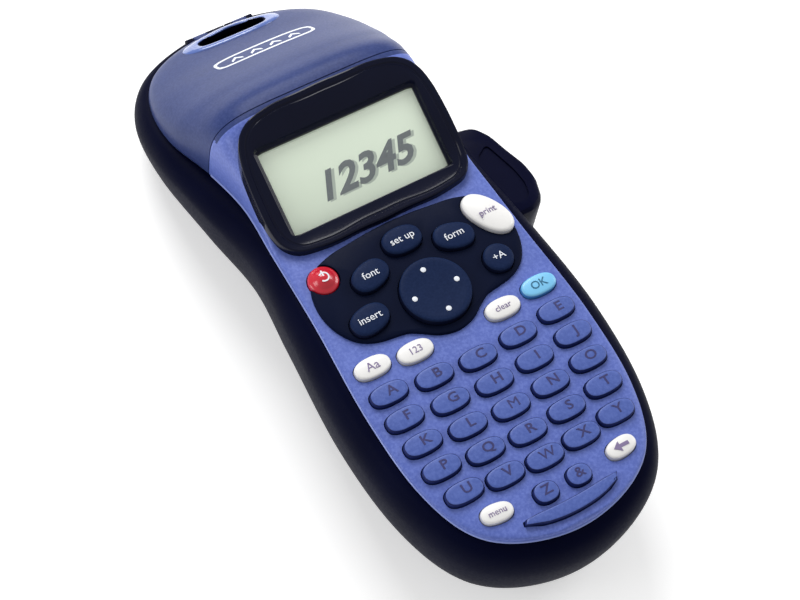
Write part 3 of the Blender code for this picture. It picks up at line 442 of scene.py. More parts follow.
caseForm = {
    "belly": [(-96.4, 0.0), (-84.5, 28.6), (-65.0, 36.9), (-39.0, 39.3), (-6.0, 37.0), (16.0, 35.1),
              (38.0, 38.0), (60.0, 39.7), (79.0, 36.8), (90.5, 28.7), (98.5, 0.0)],
    "rim": [(-90.5, 0.0), (-80.5, 25.2), (-64.0, 31.8), (-42.0, 33.3), (-10.0, 31.6), (13.0, 30.6),
            (30.0, 29.5), (44.0, 31.0), (62.0, 34.4), (77.0, 32.7), (88.0, 26.6), (96.5, 0.0)],
    "bellyHeight": [(-96.4, 26.0), (28.0, 26.0), (38.0, 24.5), (49.0, 22.0), (58.0, 19.0), (66.0, 16.5),
                    (76.0, 13.5), (84.0, 11.3), (98.5, 10.0)],
    "rimHeight": [(-90.5, 35.5), (4.0, 35.5), (15.0, 34.5), (28.0, 32.5), (44.0, 29.0), (58.0, 25.0),
                  (73.0, 20.0), (83.0, 16.5), (92.0, 14.0), (96.5, 13.2)],
    "lidHeight": [(44.0, 51.98), (50.0, 51.2), (58.0, 45.8), (70.0, 35.6), (80.0, 27.0), (88.0, 20.8),
                  (93.0, 17.0), (96.5, 13.2)],
    "fullness": [(-90.5, 7.0), (42.0, 6.0), (47.0, 4.6), (53.0, 3.5), (62.0, 2.8), (76.0, 2.45), (96.5, 2.3)],
    "wall": 2.0, "backInset": 15.0, "face": 38.0, "slope": 0.4545, "slopeStart": 13.25,
    "ridgeRound": 0.5, "seam": 46.0, "gap": 0.3, "strip": (43.9, 45.0),
}


def halfWidth(outline, y=None, theta=None, inset=0.0):          # width of a plan outline, its ends rounded
    first, last = outline[0][0], outline[-1][0]
    middle, reach = (first + last) / 2, (last - first) / 2
    turned = [(math.acos(max(-1.0, min(1.0, (middle - place) / reach))), width) for place, width in outline]
    if theta is None:
        theta = np.arccos(np.clip((middle - np.asarray(y, float)) / (reach - inset), -1.0, 1.0))
    widest = max(width for place, width in outline)
    return curveThrough(turned, theta) * (1 - inset / widest)


def alongY(outline, theta, inset=0.0):
    first, last = outline[0][0] + inset, outline[-1][0] - inset
    return (first + last) / 2 - (last - first) / 2 * np.cos(theta)


def faceLine(y):                                                # keypad and display slope, along the middle
    bend = 4.0
    rise = np.asarray(y, float) - caseForm["slopeStart"]
    eased = np.where(rise < -bend, 0.0, np.where(rise > bend, rise, (rise + bend) ** 2 / (4 * bend)))
    return caseForm["face"] + caseForm["slope"] * eased


def topLine(y):                                                 # whole top along the middle, ridge rounded
    y = np.asarray(y, float)
    front = faceLine(y)
    lidTable = caseForm["lidHeight"]
    ahead = lidTable[0][1] + (lidTable[0][0] - y) * 0.13        # straight on, short of the lid
    lid = np.where(y < lidTable[0][0], ahead, curveThrough(lidTable, y))
    top = (front + lid) / 2 - np.sqrt(((front - lid) / 2) ** 2 + caseForm["ridgeRound"] ** 2)
    top = np.where(y < 30.0, front, top)
    edge = np.clip((y - caseForm["rim"][0][0]) / 1.2, 0.0, 1.0)
    low = curveThrough(caseForm["rimHeight"], y)
    return low + (top - low) * np.sqrt(1 - (1 - edge) ** 2)


def skinHeight(x, y):                                           # outer surface above the parting line
    low = curveThrough(caseForm["rimHeight"], y)
    share = np.clip(np.abs(x) / np.maximum(halfWidth(caseForm["rim"], y), 1e-6), 0, 1)
    power = curveThrough(caseForm["fullness"], y)
    return low + (topLine(y) - low) * (1 - share**power) ** (1 / power)


def topShell(name, startY, endY, along):
    rim = caseForm["rim"]
    first, last = rim[0][0], rim[-1][0]
    ends = [math.acos(((first + last) / 2 - y) / ((last - first) / 2)) for y in (startY, endY)]
    bm = bmesh.new()
    bmesh.ops.create_grid(bm, x_segments=96, y_segments=along, size=1.0)
    flat = np.array([vert.co[:] for vert in bm.verts])
    theta = ends[0] + (ends[1] - ends[0]) * (flat[:, 1] + 1) / 2
    share = np.sign(flat[:, 0]) * (1 - (1 - np.abs(flat[:, 0])) ** 3)
    y = alongY(rim, theta)
    width = halfWidth(rim, theta=theta)
    x = width * share
    low = curveThrough(caseForm["rimHeight"], y)
    power = curveThrough(caseForm["fullness"], y)
    z = low + (topLine(y) - low) * (1 - np.abs(share) ** power) ** (1 / power) + caseForm["gap"] / 2
    for vert, point in zip(bm.verts, np.stack([x, y, z], 1)):
        vert.co = Vector(point) * mm
    bmesh.ops.remove_doubles(bm, verts=bm.verts[:], dist=2e-6)
    obj = newObject(name, bm, outward=False)
    thicken(obj, caseForm["wall"])
    return obj


def bottomShell(name):
    form = caseForm
    bm = bmesh.new()
    bmesh.ops.create_grid(bm, x_segments=104, y_segments=200, size=1.0)
    flat = np.array([vert.co[:] for vert in bm.verts])
    theta = (flat[:, 1] + 1) / 2 * math.pi
    side, part = np.sign(flat[:, 0]), np.abs(flat[:, 0])
    rings = []
    for outline, inset in ((form["rim"], 0.0), (form["belly"], 0.0), (form["belly"], form["backInset"])):
        y = alongY(outline, theta, inset)
        rings.append(np.stack([halfWidth(outline, theta=theta, inset=inset), y, np.zeros(len(y))], 1))
    rim, belly, base = rings
    rim[:, 2] = curveThrough(form["rimHeight"], rim[:, 1]) - form["gap"] / 2
    belly[:, 2] = curveThrough(form["bellyHeight"], belly[:, 1])
    upper = (np.clip((part - 0.70) / 0.30, 0, 1) * math.pi / 2)[:, None]
    lower = (np.clip((part - 0.28) / 0.42, 0, 1) * math.pi / 2)[:, None]
    inward, up = 1 - np.cos(upper), np.sin(upper)
    shoulder = belly + (rim - belly) * np.concatenate([inward, inward, up], 1)
    out, rise = np.sin(lower), 1 - np.cos(lower)
    flank = base + (belly - base) * np.concatenate([out, out, rise], 1)
    back = base * np.stack([np.clip(part / 0.28, 0, 1), np.ones(len(part)), np.ones(len(part))], 1)
    points = np.where((part > 0.70)[:, None], shoulder, np.where((part > 0.28)[:, None], flank, back))
    points[:, 0] *= side
    for vert, point in zip(bm.verts, points):
        vert.co = Vector(point) * mm
    bmesh.ops.remove_doubles(bm, verts=bm.verts[:], dist=2e-6)
    bmesh.ops.reverse_faces(bm, faces=bm.faces[:])
    obj = newObject(name, bm, outward=False)
    thicken(obj, form["wall"])
    return obj


keypad = {
    "letterRow": -39.75, "rowPitch": 7.9, "pitches": (12.7, 12.75, 12.5, 12.2, 11.4), "bow": 2.05,
    "capTop": 39.7, "navTop": 41.2, "foot": 34.4, "flange": 0.9, "flangeWidth": 0.5, "play": 0.25,
    "spaceY": -85.6, "spaceSize": (28.6, 3.8), "spaceArc": 1.9,
    "holes": (35.2, 46.0), "panelHoles": (36.0, 46.0),
}


def rowBow(x):
    return keypad["bow"] * (abs(x) / 25.2) ** 1.5


def keyPlan():                                                  # place, size, look and legend of each key
    plan = {}
    letters = "ABCDEFGHIJKLMNOPQRSTUVWXY"
    for row, pitch in enumerate(keypad["pitches"]):
        for column in range(-2, 3):
            x = column * pitch
            y = keypad["letterRow"] - row * keypad["rowPitch"] + rowBow(x)
            plan[f"letter_key_{row + 1}_{column + 3}"] = dict(
                at=(x, y), size=(10.6, 5.8), power=2.6, look="letter", words=letters[row * 5 + column + 2])
    for name, x, words, look in (("case_key", -25.3, "Aa", "white"), ("digit_key", -13.3, "123", "white"),
                                 ("back_key", 13.3, "clear", "white"), ("enter_key", 25.3, "OK", "cyan")):
        plan[name] = dict(at=(x, -31.35 + rowBow(x)), size=(10.2, 5.8), power=2.4, look=look, words=words)
    for name, side, words in (("symbol_key", -1, "menu"), ("accent_key", 1, "<")):
        plan[name] = dict(at=(side * 18.6, -79.45 + rowBow(18.6)), size=(8.8, 5.2), power=2.4,
                          angle=side * 0.12, look="white", words=words)
    for name, x, words in (("letter_key_6_1", -4.9, "Z"), ("letter_key_6_2", 4.9, "&")):
        plan[name] = dict(at=(x, -79.45), size=(6.8, 5.6), power=2.4, look="letter", words=words)
    oval = (11.4, 8.0)
    plan["power_key"] = dict(at=(-23.8, -1.8), size=(8.4, 8.4), power=2.0, look="red", words="")
    plan["format_key"] = dict(at=(-12.8, -6.8), size=oval, power=2.3, angle=0.3, look="navy", words="font")
    plan["settings_key"] = dict(at=(0.0, -1.4), size=oval, power=2.3, look="navy", words="set up")
    plan["preview_key"] = dict(at=(12.8, -6.8), size=oval, power=2.3, angle=-0.3, look="navy", words="form")
    plan["insert_key"] = dict(at=(-19.4, -17.8), size=oval, power=2.3, angle=0.2, look="navy", words="insert")
    plan["save_key"] = dict(at=(19.8, -17.9), size=(8.4, 8.4), power=2.0, look="navy", words="+A")
    plan["print_key"] = dict(at=(24.6, -5.0), size=(15.6, 8.8), power=2.2, angle=math.radians(-62),
                             look="print", words="print")
    plan["nav_disc"] = dict(at=(0.0, -18.5), size=(19.2, 19.2), power=2.0, look="disc", words="")
    plan["space_key"] = dict(at=(0.0, keypad["spaceY"]), look="space", words="")
    for name, key in plan.items():
        key.setdefault("angle", 0.0)
        key["onPanel"] = key["look"] in ("red", "navy", "print", "disc")
        key["top"] = keypad["navTop" if key["onPanel"] else "capTop"]
    return plan


def keyOutline(key, grow=0.0, count=48):
    if key["look"] != "space":
        return roundOval(key["size"], key["power"], key["angle"], key["at"], count, grow)
    bar = roundOval(keypad["spaceSize"], 4.0, 0.0, (0.0, 0.0), 72, grow)
    share = bar[:, 0] / (keypad["spaceSize"][0] / 2)
    upper = bar[:, 1] > 0
    bar[:, 0] *= np.where(upper, 1.0, 0.93)
    bar[:, 1] += keypad["spaceY"] + keypad["spaceArc"] * share**2 * np.where(upper, 0.6, 1.0)
    return bar


keys = keyPlan()


def holeShapes(names, grow, low, high):                         # one cutter with a prism for each key
    bm = bmesh.new()
    for name in names:
        outline = keyOutline(keys[name], grow)
        stackRings(bm, [lifted(outline, low), lifted(outline, high)])
    return bm


caseCuts = {
    "lcdHole": (25.5, 13.65), "screenY": 23.75,
    "bay": (26.55, -71.1, -10.9, 19.5), "bayWall": 1.6, "bayCorner": 3.0, "coverLap": 1.6, "coverTop": 4.6,
    "leverGate": ((25.0, -8.2, 12.2), (60.0, 29.4, 29.8)),
    "slot": {"y": 89.7, "wide": 21.0, "deep": 4.8},
    "hinge": {"y": 96.2, "z": 11.2, "x": 6.4, "radius": 1.9, "knuckle": 4.0, "lug": 2.0, "pin": 0.9,
              "bore": 1.2},
    "hingeNotch": {"front": 4.4, "back": 9.0, "below": 0.7, "above": 9.0},
    "lidAngles": (25, 50, 75), "lidPlay": (0, 0.25, -0.3), "screwHole": (2.9, -1.0, 1.4),
    "screws": [(-7.0, -77.0), (7.0, -77.0), (-15.0, 8.0), (15.0, 8.0), (-14.0, 66.0), (14.0, 66.0)],
}


def slopeMatrix():                                              # square to the display, at its middle
    y = caseCuts["screenY"]
    z = caseForm["face"] + caseForm["slope"] * (y - caseForm["slopeStart"])
    return Matrix.Translation(Vector((0, y, z)) * mm) @ Matrix.Rotation(math.atan(caseForm["slope"]), 4, "X")


def makeFrontShell():
    front = topShell("frontShell", -90.44, caseForm["seam"] - caseForm["gap"] / 2, 210)
    carve(front, holeShapes(keys, keypad["play"], *keypad["holes"]))
    bm = bmesh.new()
    halfX, halfY = caseCuts["lcdHole"]
    addBlock(bm, (-halfX, -halfY, -9.0), (halfX, halfY, 9.0))
    bmesh.ops.transform(bm, matrix=slopeMatrix(), verts=bm.verts[:])
    carve(front, bm)
    stripY, stripZ = caseForm["strip"]
    for face in front.data.polygons:                            # darker strip behind the display's ridge
        face.material_index = int(face.center.y / mm > stripY and face.center.z / mm > stripZ)
    fit(front, "case", ["periwinkle", "slatePearl"], ["front_housing"], sharp=38)


def makeRearShell():
    rear = bottomShell("rearShell")
    halfX, lowY, highY = caseCuts["bay"][:3]
    coverCopy = rear.copy()
    coverCopy.data = rear.data.copy()
    scene.collection.objects.link(coverCopy)
    for obj, spare in ((rear, caseForm["gap"]), (coverCopy, 0.0)):
        edge = caseCuts["coverLap"] + spare
        bm = bmesh.new()
        addBlock(bm, (-halfX - edge, lowY - edge, -5.0),
                 (halfX + edge, highY + edge, caseCuts["coverTop"] + spare))
        upright = [e for e in bm.edges if abs(e.verts[0].co.z - e.verts[1].co.z) > 0.001]
        bmesh.ops.bevel(bm, geom=upright, offset=caseCuts["bayCorner"] * mm, affect="EDGES", segments=5,
                        profile=0.5, material=-1)
        carve(obj, bm, "DIFFERENCE" if obj is rear else "INTERSECT")
    low, high = caseCuts["leverGate"]
    bm = bmesh.new()
    addBlock(bm, low, high)
    hinge, notch = caseCuts["hinge"], caseCuts["hingeNotch"]
    for side in (-1, 1):
        reach = hinge["knuckle"] / 2 + hinge["lug"] + 2 * caseForm["gap"]
        middle, floor = side * hinge["x"], hinge["z"] - hinge["radius"] - notch["below"]
        addBlock(bm, (middle - reach, hinge["y"] - notch["front"], floor),
                 (middle + reach, hinge["y"] + notch["back"], hinge["z"] + notch["above"]))
    for place in caseCuts["screws"]:
        addBar(bm, *caseCuts["screwHole"], place, "Z", 32)
    carve(rear, bm)
    return rear, coverCopy


def openLidPath(rear, lid):                                     # room in the rear wall for the lid's swing
    hinge = caseCuts["hinge"]
    pivot = Matrix.Translation((0, hinge["y"] * mm, hinge["z"] * mm))
    clearance = Matrix.Translation(Vector(caseCuts["lidPlay"]) * mm)
    for angle in caseCuts["lidAngles"]:
        bm = bmesh.new()
        bm.from_mesh(lid.data)
        turn = pivot @ Matrix.Rotation(math.radians(-angle), 4, "X") @ pivot.inverted()
        bmesh.ops.transform(bm, matrix=clearance @ turn, verts=bm.verts[:])
        carve(rear, bm)
    fit(rear, "case", "navyShell", ["rear_housing"], sharp=38)


cover = {"grooves": 9, "pitch": 2.6, "grooveWide": 1.1, "deep": 0.5, "half": 11.0, "firstY": -20.0,
         "bow": 0.22, "arrowY": -49.0, "arrow": 3.0, "ribs": (-17.0, 0.0, 17.0), "hooks": (-10.0, 10.0)}


def makeCover(shell):
    shell.name = "batteryDoor"
    bm = bmesh.new()
    for step in range(cover["grooves"]):                        # thumb grip
        half = cover["half"] - cover["bow"] * (step - cover["grooves"] // 2) ** 2
        y, wide = cover["firstY"] - step * cover["pitch"], cover["grooveWide"]
        addBlock(bm, (-half, y - wide / 2, -1.0), (half, y + wide / 2, cover["deep"]), 0.25)
    place = Matrix.Translation((0, cover["arrowY"] * mm, -0.5 * mm)) @ Matrix.Rotation(-math.pi / 2, 4, "Z")
    reach = cover["arrow"] * mm
    bmesh.ops.create_cone(bm, cap_ends=True, segments=3, radius1=reach, radius2=reach, depth=2 * mm,
                          matrix=place)
    carve(shell, bm)
    fit(shell, "cover", "navyShell", ["battery_cover"], sharp=38)
    bm = bmesh.new()
    lowY, highY = caseCuts["bay"][1:3]
    for x in cover["ribs"]:                                     # stiffening ribs inside the door
        addBlock(bm, (x - 0.5, lowY + 10.0, 1.9), (x + 0.5, highY - 4.0, 2.6), 0.15)
    for x in cover["hooks"]:                                    # hooks that catch the bay's upper edge
        addBlock(bm, (x - 2.0, highY - 3.4, 1.8), (x + 2.0, highY - 1.0, 4.4), 0.3)
    fit(newObject("batteryDoorRibs", bm), "cover", "navyShell")


def makeLidShell():
    lid = topShell("lidShell", caseForm["seam"] + caseForm["gap"] / 2, 96.44, 110)
    slot = caseCuts["slot"]
    bm = bmesh.new()
    outline = roundOval((slot["wide"], slot["deep"]), 3.2, 0.0, (0.0, slot["y"]), 64)
    stackRings(bm, [lifted(outline, 5.0), lifted(outline, 50.0)])
    carve(lid, bm)
    return fit(lid, "lid", "slatePearl", ["tape_lid"], sharp=38)


lip = {"inner": (20.6, 4.4), "outer": (31.0, 9.4), "y": 89.7, "outerY": 90.1, "crest": 0.7, "back": 0.9}


def makeSlotLip():                                              # raised almond round the label's exit, in a finish lighter than the lid for a painted highlight
    count = 96
    turn = np.arange(count) * 2 * math.pi / count
    backward = np.clip(np.sin(turn), 0, 1)                      # 1 on the head side
    rings = []
    for share, lift in ((1.0, -0.6), (1.0, -0.05), (0.92, 0.25), (0.78, 0.6), (0.6, 0.86), (0.42, 0.98),
                        (0.24, 1.0), (0.1, 0.9), (0.0, 0.6), (0.0, -3.2), (0.25, -3.2), (1.0, -0.6)):
        inner = roundOval(lip["inner"], 3.2, 0.0, (0.0, lip["y"]), count)
        outer = roundOval(lip["outer"], 2.3, 0.0, (0.0, lip["outerY"]), count)
        flat = inner + (outer - inner) * share
        rise = (lip["crest"] + lip["back"] * backward) * lift if lift > 0 else lift
        rings.append(lifted(flat, skinHeight(flat[:, 0], flat[:, 1]) + 0.15 + rise))
    bm = bmesh.new()
    stackRings(bm, rings, capFirst=False, capLast=False)
    bmesh.ops.remove_doubles(bm, verts=bm.verts[:], dist=2e-6)
    # faces inside the opening take near-black navyShell: painted shade down the slot's throat
    for face in bm.faces:
        x, y, z = face.calc_center_median() / mm
        inside = abs(x / lip["inner"][0] * 2) ** 3.2 + abs((y - lip["y"]) / lip["inner"][1] * 2) ** 3.2 < 1.15
        face.material_index = 1 if inside else 0
    fit(newObject("slotLip", bm), "lid", ["lipPaintedHighlight", "navyShell"], sharp=60)


bead = {"radius": 0.42, "sides": 10, "span": (-90.3, 45.0), "stations": 150}


def makeRimHighlight():                                              # lighter bead round the keypad's edge: painted highlight along the rounded rim
    rim = caseForm["rim"]
    middle, reach = (rim[0][0] + rim[-1][0]) / 2, (rim[-1][0] - rim[0][0]) / 2
    last = math.acos((middle - bead["span"][1]) / reach)
    theta = np.linspace(-last, last, 2 * bead["stations"])
    y = alongY(rim, np.abs(theta))
    x = np.sign(theta) * halfWidth(rim, theta=np.abs(theta))
    z = curveThrough(caseForm["rimHeight"], y) + 0.35
    path = np.stack([x, y, z], 1)
    ahead = np.gradient(path, axis=0)
    across = np.cross(ahead, [0, 0, 1.0])
    across /= np.linalg.norm(across, axis=1)[:, None]
    rings = []
    for point, side in zip(path, across):
        turn = [2 * math.pi * k / bead["sides"] for k in range(bead["sides"])]
        rings.append([point + bead["radius"] * (side * (math.cos(t) - 0.35) + np.array([0, 0, math.sin(t)]))
                      for t in turn])
    bm = bmesh.new()
    stackRings(bm, rings)
    fit(newObject("rimHighlightBead", bm), "case", "rimPearl", sharp=60)


mark = {"centre": (1.0, 73.2), "size": (31.0, 6.0), "line": 0.8, "arrows": (-9.0, -3.0, 3.0, 9.0),
        "half": 1.7, "tall": 1.5, "thick": 1.0}


def makeLidMark():                                              # label outline with feed arrows, pad printed
    bm = bmesh.new()
    skin = caseForm["gap"] / 2
    rings = []
    for grow, rise in ((0.0, -0.1), (0.0, 0.05), (-mark["line"], 0.05), (-mark["line"], -0.1)):
        flat = roundOval(mark["size"], 5.0, 0.0, mark["centre"], 96, grow)
        rings.append(lifted(flat, skinHeight(flat[:, 0], flat[:, 1]) + skin + rise))
    stackRings(bm, rings, False, False)
    for shift in mark["arrows"]:
        x, low = mark["centre"][0] + shift, mark["centre"][1] - 1.4
        for side in (-1, 1):                                    # one stroke each side of the arrow's tip
            flat = np.array([(x + side * mark["half"], low), (x + side * mark["half"], low + mark["thick"]),
                             (x, low + mark["tall"] + mark["thick"]), (x, low + mark["tall"])])
            height = skinHeight(flat[:, 0], flat[:, 1]) + skin
            stackRings(bm, [lifted(flat, height - 0.1), lifted(flat, height + 0.05)])
    fit(newObject("lidMark", bm), "lid", "inkWhite")


def makeHinge():
    hinge = caseCuts["hinge"]
    axis = (hinge["y"], hinge["z"])
    gap, knuckles, lugs = caseForm["gap"], bmesh.new(), bmesh.new()
    for side in (-1, 1):
        middle, half = side * hinge["x"], hinge["knuckle"] / 2
        addBar(knuckles, hinge["radius"], middle - half, middle + half, axis, "X", 32, 0.2)
        addBlock(knuckles, (middle - half, axis[0] - 2.4, axis[1] + 0.2),
                 (middle + half, axis[0] + 0.2, axis[1] + 3.0), 0.2)
        reach = half + gap + hinge["lug"]
        addBar(knuckles, hinge["pin"], middle - reach + 0.3, middle + reach - 0.3, axis, "X", 24, 0.15)
        for low in (middle - reach, middle + half + gap):
            high = low + hinge["lug"]
            tube = bmesh.new()
            count = 32
            turn = np.arange(count) * 2 * math.pi / count
            ring = np.stack([np.zeros(count), axis[0] + np.cos(turn), axis[1] + np.sin(turn)], 1)
            centre = np.array([0.0, *axis])
            walls = []
            bore, rim = hinge["bore"], hinge["radius"]
            for radius, x in ((bore, low), (rim, low), (rim, high), (bore, high), (bore, low)):
                walls.append(centre + (ring - centre) * radius + [x, 0, 0])
            stackRings(tube, walls, capFirst=False, capLast=False)
            bmesh.ops.remove_doubles(tube, verts=tube.verts[:], dist=2e-6)
            addBlock(tube, (low, axis[0] - 1.8, axis[1] - 4.2), (high, axis[0] + 0.6, axis[1] - 1.3), 0.15)
            joined = bpy.data.meshes.new("lug")
            tube.to_mesh(joined)
            tube.free()
            lugs.from_mesh(joined)
            bpy.data.meshes.remove(joined)
    fit(newObject("lidKnuckles", knuckles), "lid", "slatePearl")
    fit(newObject("hingeLugs", lugs), "case", "navyShell")


def makeCaseScrews():
    for index, (x, y) in enumerate(caseCuts["screws"]):
        bm = bmesh.new()
        count = 40
        rings = []
        for radius, z in ((1.2, 1.9), (2.5, 1.9), (2.5, 0.75), (2.3, 0.5), (1.7, 0.42), (0.6, 0.4)):
            rings.append(lifted(roundOval((radius * 2, radius * 2), 2.0, 0.0, (x, y), count), z))
        stackRings(bm, rings)
        head = newObject(f"caseScrew{index + 1}", bm)
        for halfX, halfY in ((1.5, 0.28), (0.28, 1.5)):         # cross recess
            slit = bmesh.new()
            addBlock(slit, (x - halfX, y - halfY, -1.0), (x + halfX, y + halfY, 1.2))
            carve(head, slit)
        fit(head, "case", "steel")


works = {
    "platen": (74.9, 11.27), "postX": 10.0, "postThick": 1.6, "motorY": 66.07, "motorX": (-28.1, -15.1),
    "motorRadius": 7.5, "rod": (21.5, 14.6), "rodRadius": 1.8, "springY": (50.0, 64.0), "pivot": (33.0, 24.0),
    "leverZ": (12.5, 29.5),
}


def makeBatteryTray():
    halfX, lowY, highY, top = caseCuts["bay"]
    wall = caseCuts["bayWall"]
    bm = bmesh.new()
    addBlock(bm, (-halfX - wall, lowY - wall, 6.6), (halfX + wall, highY + wall, top + wall), 0.8)
    tray = newObject("batteryTray", bm)
    bm = bmesh.new()
    addBlock(bm, (-halfX, lowY, 0.0), (halfX, highY, top))
    carve(tray, bm)
    fit(tray, "case", "navyShell")
    bm = bmesh.new()
    pitch = 14.8
    for cell in range(3):                                       # cradles between the cells
        y = lowY + 0.5 + pitch * (cell + 1)
        for x in (-14.0, 14.0):
            addBlock(bm, (x - 5.0, y - 0.5, 15.5), (x + 5.0, y + 0.5, top + 0.2), 0.2)
    fit(newObject("cellCradles", bm), "case", "navyShell")
    bm = bmesh.new()
    springs = bmesh.new()
    for cell in range(4):
        y = lowY + 0.5 + pitch * (cell + 0.5)
        for side in (-1, 1):
            x = side * (halfX - 0.25)
            addBlock(bm, (x - 0.2, y - 4.6, 8.0), (x + 0.2, y + 4.6, 16.5), 0.15)
            if side == (1 if cell % 2 else -1):
                makeCoil(springs, (x - side * 0.3, y, 11.6), (-side, 0, 0), 2.6, 1.3, 2.0, 3.5, 0.28)
            else:
                addBar(bm, 2.2, min(x, x - side * 0.9), max(x, x - side * 0.9), (y, 11.6), "X", 24, 0.25)
    fit(newObject("contactPlates", bm), "case", "foil")
    fit(newObject("contactSprings", springs), "case", "springSteel")


def makeCoil(bm, base, axis, radius, tip, length, turns, wire, sides=8, perTurn=20):
    steps = int(turns * perTurn)
    forward = Vector(axis).normalized()
    across = forward.orthogonal().normalized()
    upward = forward.cross(across)
    rings = []
    for step in range(steps + 1):
        share = step / steps
        angle = 2 * math.pi * turns * share
        reach = radius + (tip - radius) * share
        outward = across * math.cos(angle) + upward * math.sin(angle)
        centre = Vector(base) + forward * (length * share) + outward * reach
        rings.append([centre + outward * (wire * math.cos(t)) + forward * (wire * math.sin(t))
                      for t in (2 * math.pi * k / sides for k in range(sides))])
    stackRings(bm, rings)


def makeCaseInsides():
    y, z = works["platen"]
    bm = bmesh.new()
    for x in (-works["postX"], works["postX"]):                 # bearing posts, open for the shaft
        half = works["postThick"] / 2
        addBlock(bm, (x - half, y - 3.2, 1.0), (x + half, y + 3.2, z - 1.9), 0.2)
        for side in (-1, 1):
            cheek = y + side * 2.55
            addBlock(bm, (x - half, cheek - 0.65, z - 2.3), (x + half, cheek + 0.65, z + 3.2), 0.2)
    fit(newObject("bearingPosts", bm), "case", "navyShell")
    bm = bmesh.new()
    low, high = works["motorX"]
    addBlock(bm, (low + 3.0, works["motorY"] - 5.0, 1.0), (high - 3.0, works["motorY"] + 5.0, z - 3.0), 0.3)
    cradle = newObject("motorCradle", bm)
    bm = bmesh.new()
    addBar(bm, works["motorRadius"] + 0.3, low - 2.0, high + 2.0, (works["motorY"], z), "X", 64)
    carve(cradle, bm)
    fit(cradle, "case", "navyShell")
    x, z = works["rod"]
    stop = works["springY"][1] + 0.3
    bm = bmesh.new()
    addBlock(bm, (x - 4.5, stop, 1.0), (x + 4.5, stop + 2.0, z + 4.0), 0.3)
    holder = newObject("springStop", bm)
    bm = bmesh.new()
    addBar(bm, works["rodRadius"] + 0.3, stop - 3.0, stop + 6.0, (x, z), "Y", 32)
    carve(holder, bm)
    fit(holder, "case", "navyShell")
    bm = bmesh.new()
    px, py = works["pivot"]
    rings = []
    for low, high, height in ((-7.0, -4.8, 5.0), (-5.6, -2.7, 8.0), (-4.4, -0.8, 10.5), (-3.2, 0.5, 12.2)):
        flat = roundedRectangle(((high - low) / 2, 2.6), 0.4, (px + (low + high) / 2, py), 4)
        rings.append(lifted(flat, height))
    stackRings(bm, rings)                                       # follows the flank's inside
    addBar(bm, 1.6, works["leverZ"][0] - 0.5, works["leverZ"][1] - 1.0, (px, py), "Z", 32, 0.3)
    fit(newObject("leverPost", bm), "case", "navyShell")


makeFrontShell()
rearShell, coverShell = makeRearShell()
openLidPath(rearShell, makeLidShell())
makeCover(coverShell)
makeSlotLip()
makeRimHighlight()
makeLidMark()
makeHinge()
makeCaseScrews()
makeBatteryTray()
makeCaseInsides()
print("casings ready")


panel = {
    "centre": (0.0, -12.0), "low": 38.05, "top": 39.3, "edge": 0.7,
    "outline": [(0.0, 5.7), (7.0, 5.4), (13.5, 4.7), (20.0, 3.7), (25.0, 1.6), (28.0, -2.4), (29.4, -7.5),
                (29.3, -12.5), (27.7, -17.5), (24.6, -21.6), (20.6, -23.7), (16.4, -24.5), (12.6, -25.1),
                (9.6, -26.6), (5.2, -29.4), (0.0, -30.6)],
}


def makePanel():
    bm = bmesh.new()
    rings = []
    edge, top = panel["edge"], panel["top"]
    for grow, z in ((0.0, panel["low"]), (0.0, top - edge), (-edge * 0.3, top - edge * 0.3), (-edge, top)):
        rings.append(lifted(closedOutline(panel["centre"], panel["outline"], 200, grow), z))
    stackRings(bm, rings)
    plate = newObject("controlPanel", bm)
    onPanel = [name for name in keys if keys[name]["onPanel"]]
    carve(plate, holeShapes(onPanel, keypad["play"], *keypad["panelHoles"]))
    fit(plate, "case", "panelNavy", ["nav_panel"])


keyLooks = {    # finishes of cap, side in painted shade and ink; rim's rounding; crown; part of the rounding kept in the cap finish above the painted shade
    "letter": dict(surfaces=("keyBlue", "keyBlueShadedSide", "inkPlum"), edge=0.55, crown=0.12, band=0.30),
    "space": dict(surfaces=("keyBlue", "keyBlueShadedSide", "inkPlum"), edge=0.45, crown=0.05, band=0.30),
    "white": dict(surfaces=("keyWhite", "keyWhiteShadedSide", "inkMauve"), edge=0.7, crown=0.25, band=0.62),
    "print": dict(surfaces=("keyWhite", "keyWhiteShadedSide", "inkMauve"), edge=1.0, crown=0.5, band=0.62),
    "cyan": dict(surfaces=("keyCyan", "keyCyanShadedSide", "inkTeal"), edge=0.7, crown=0.2, band=0.62),
    "red": dict(surfaces=("keyRed", "keyRed", "inkWhite"), edge=1.0, crown=1.6, band=0.62),
    "navy": dict(surfaces=("keyNavy", "keyNavyShadedSide", "inkWhite"), edge=0.9, crown=0.25, band=0.62),
    "disc": dict(surfaces=("keyNavy", "keyNavyShadedSide", "inkWhite"), edge=0.7, crown=-0.35, band=0.62),
}


def capHeight(key, share):                                      # share: 0 in the cap's middle, 1 at its edge
    crown = keyLooks[key["look"]]["crown"]
    return key["top"] - crown * share**2 if crown > 0 else key["top"] + crown * (1 - share**2)


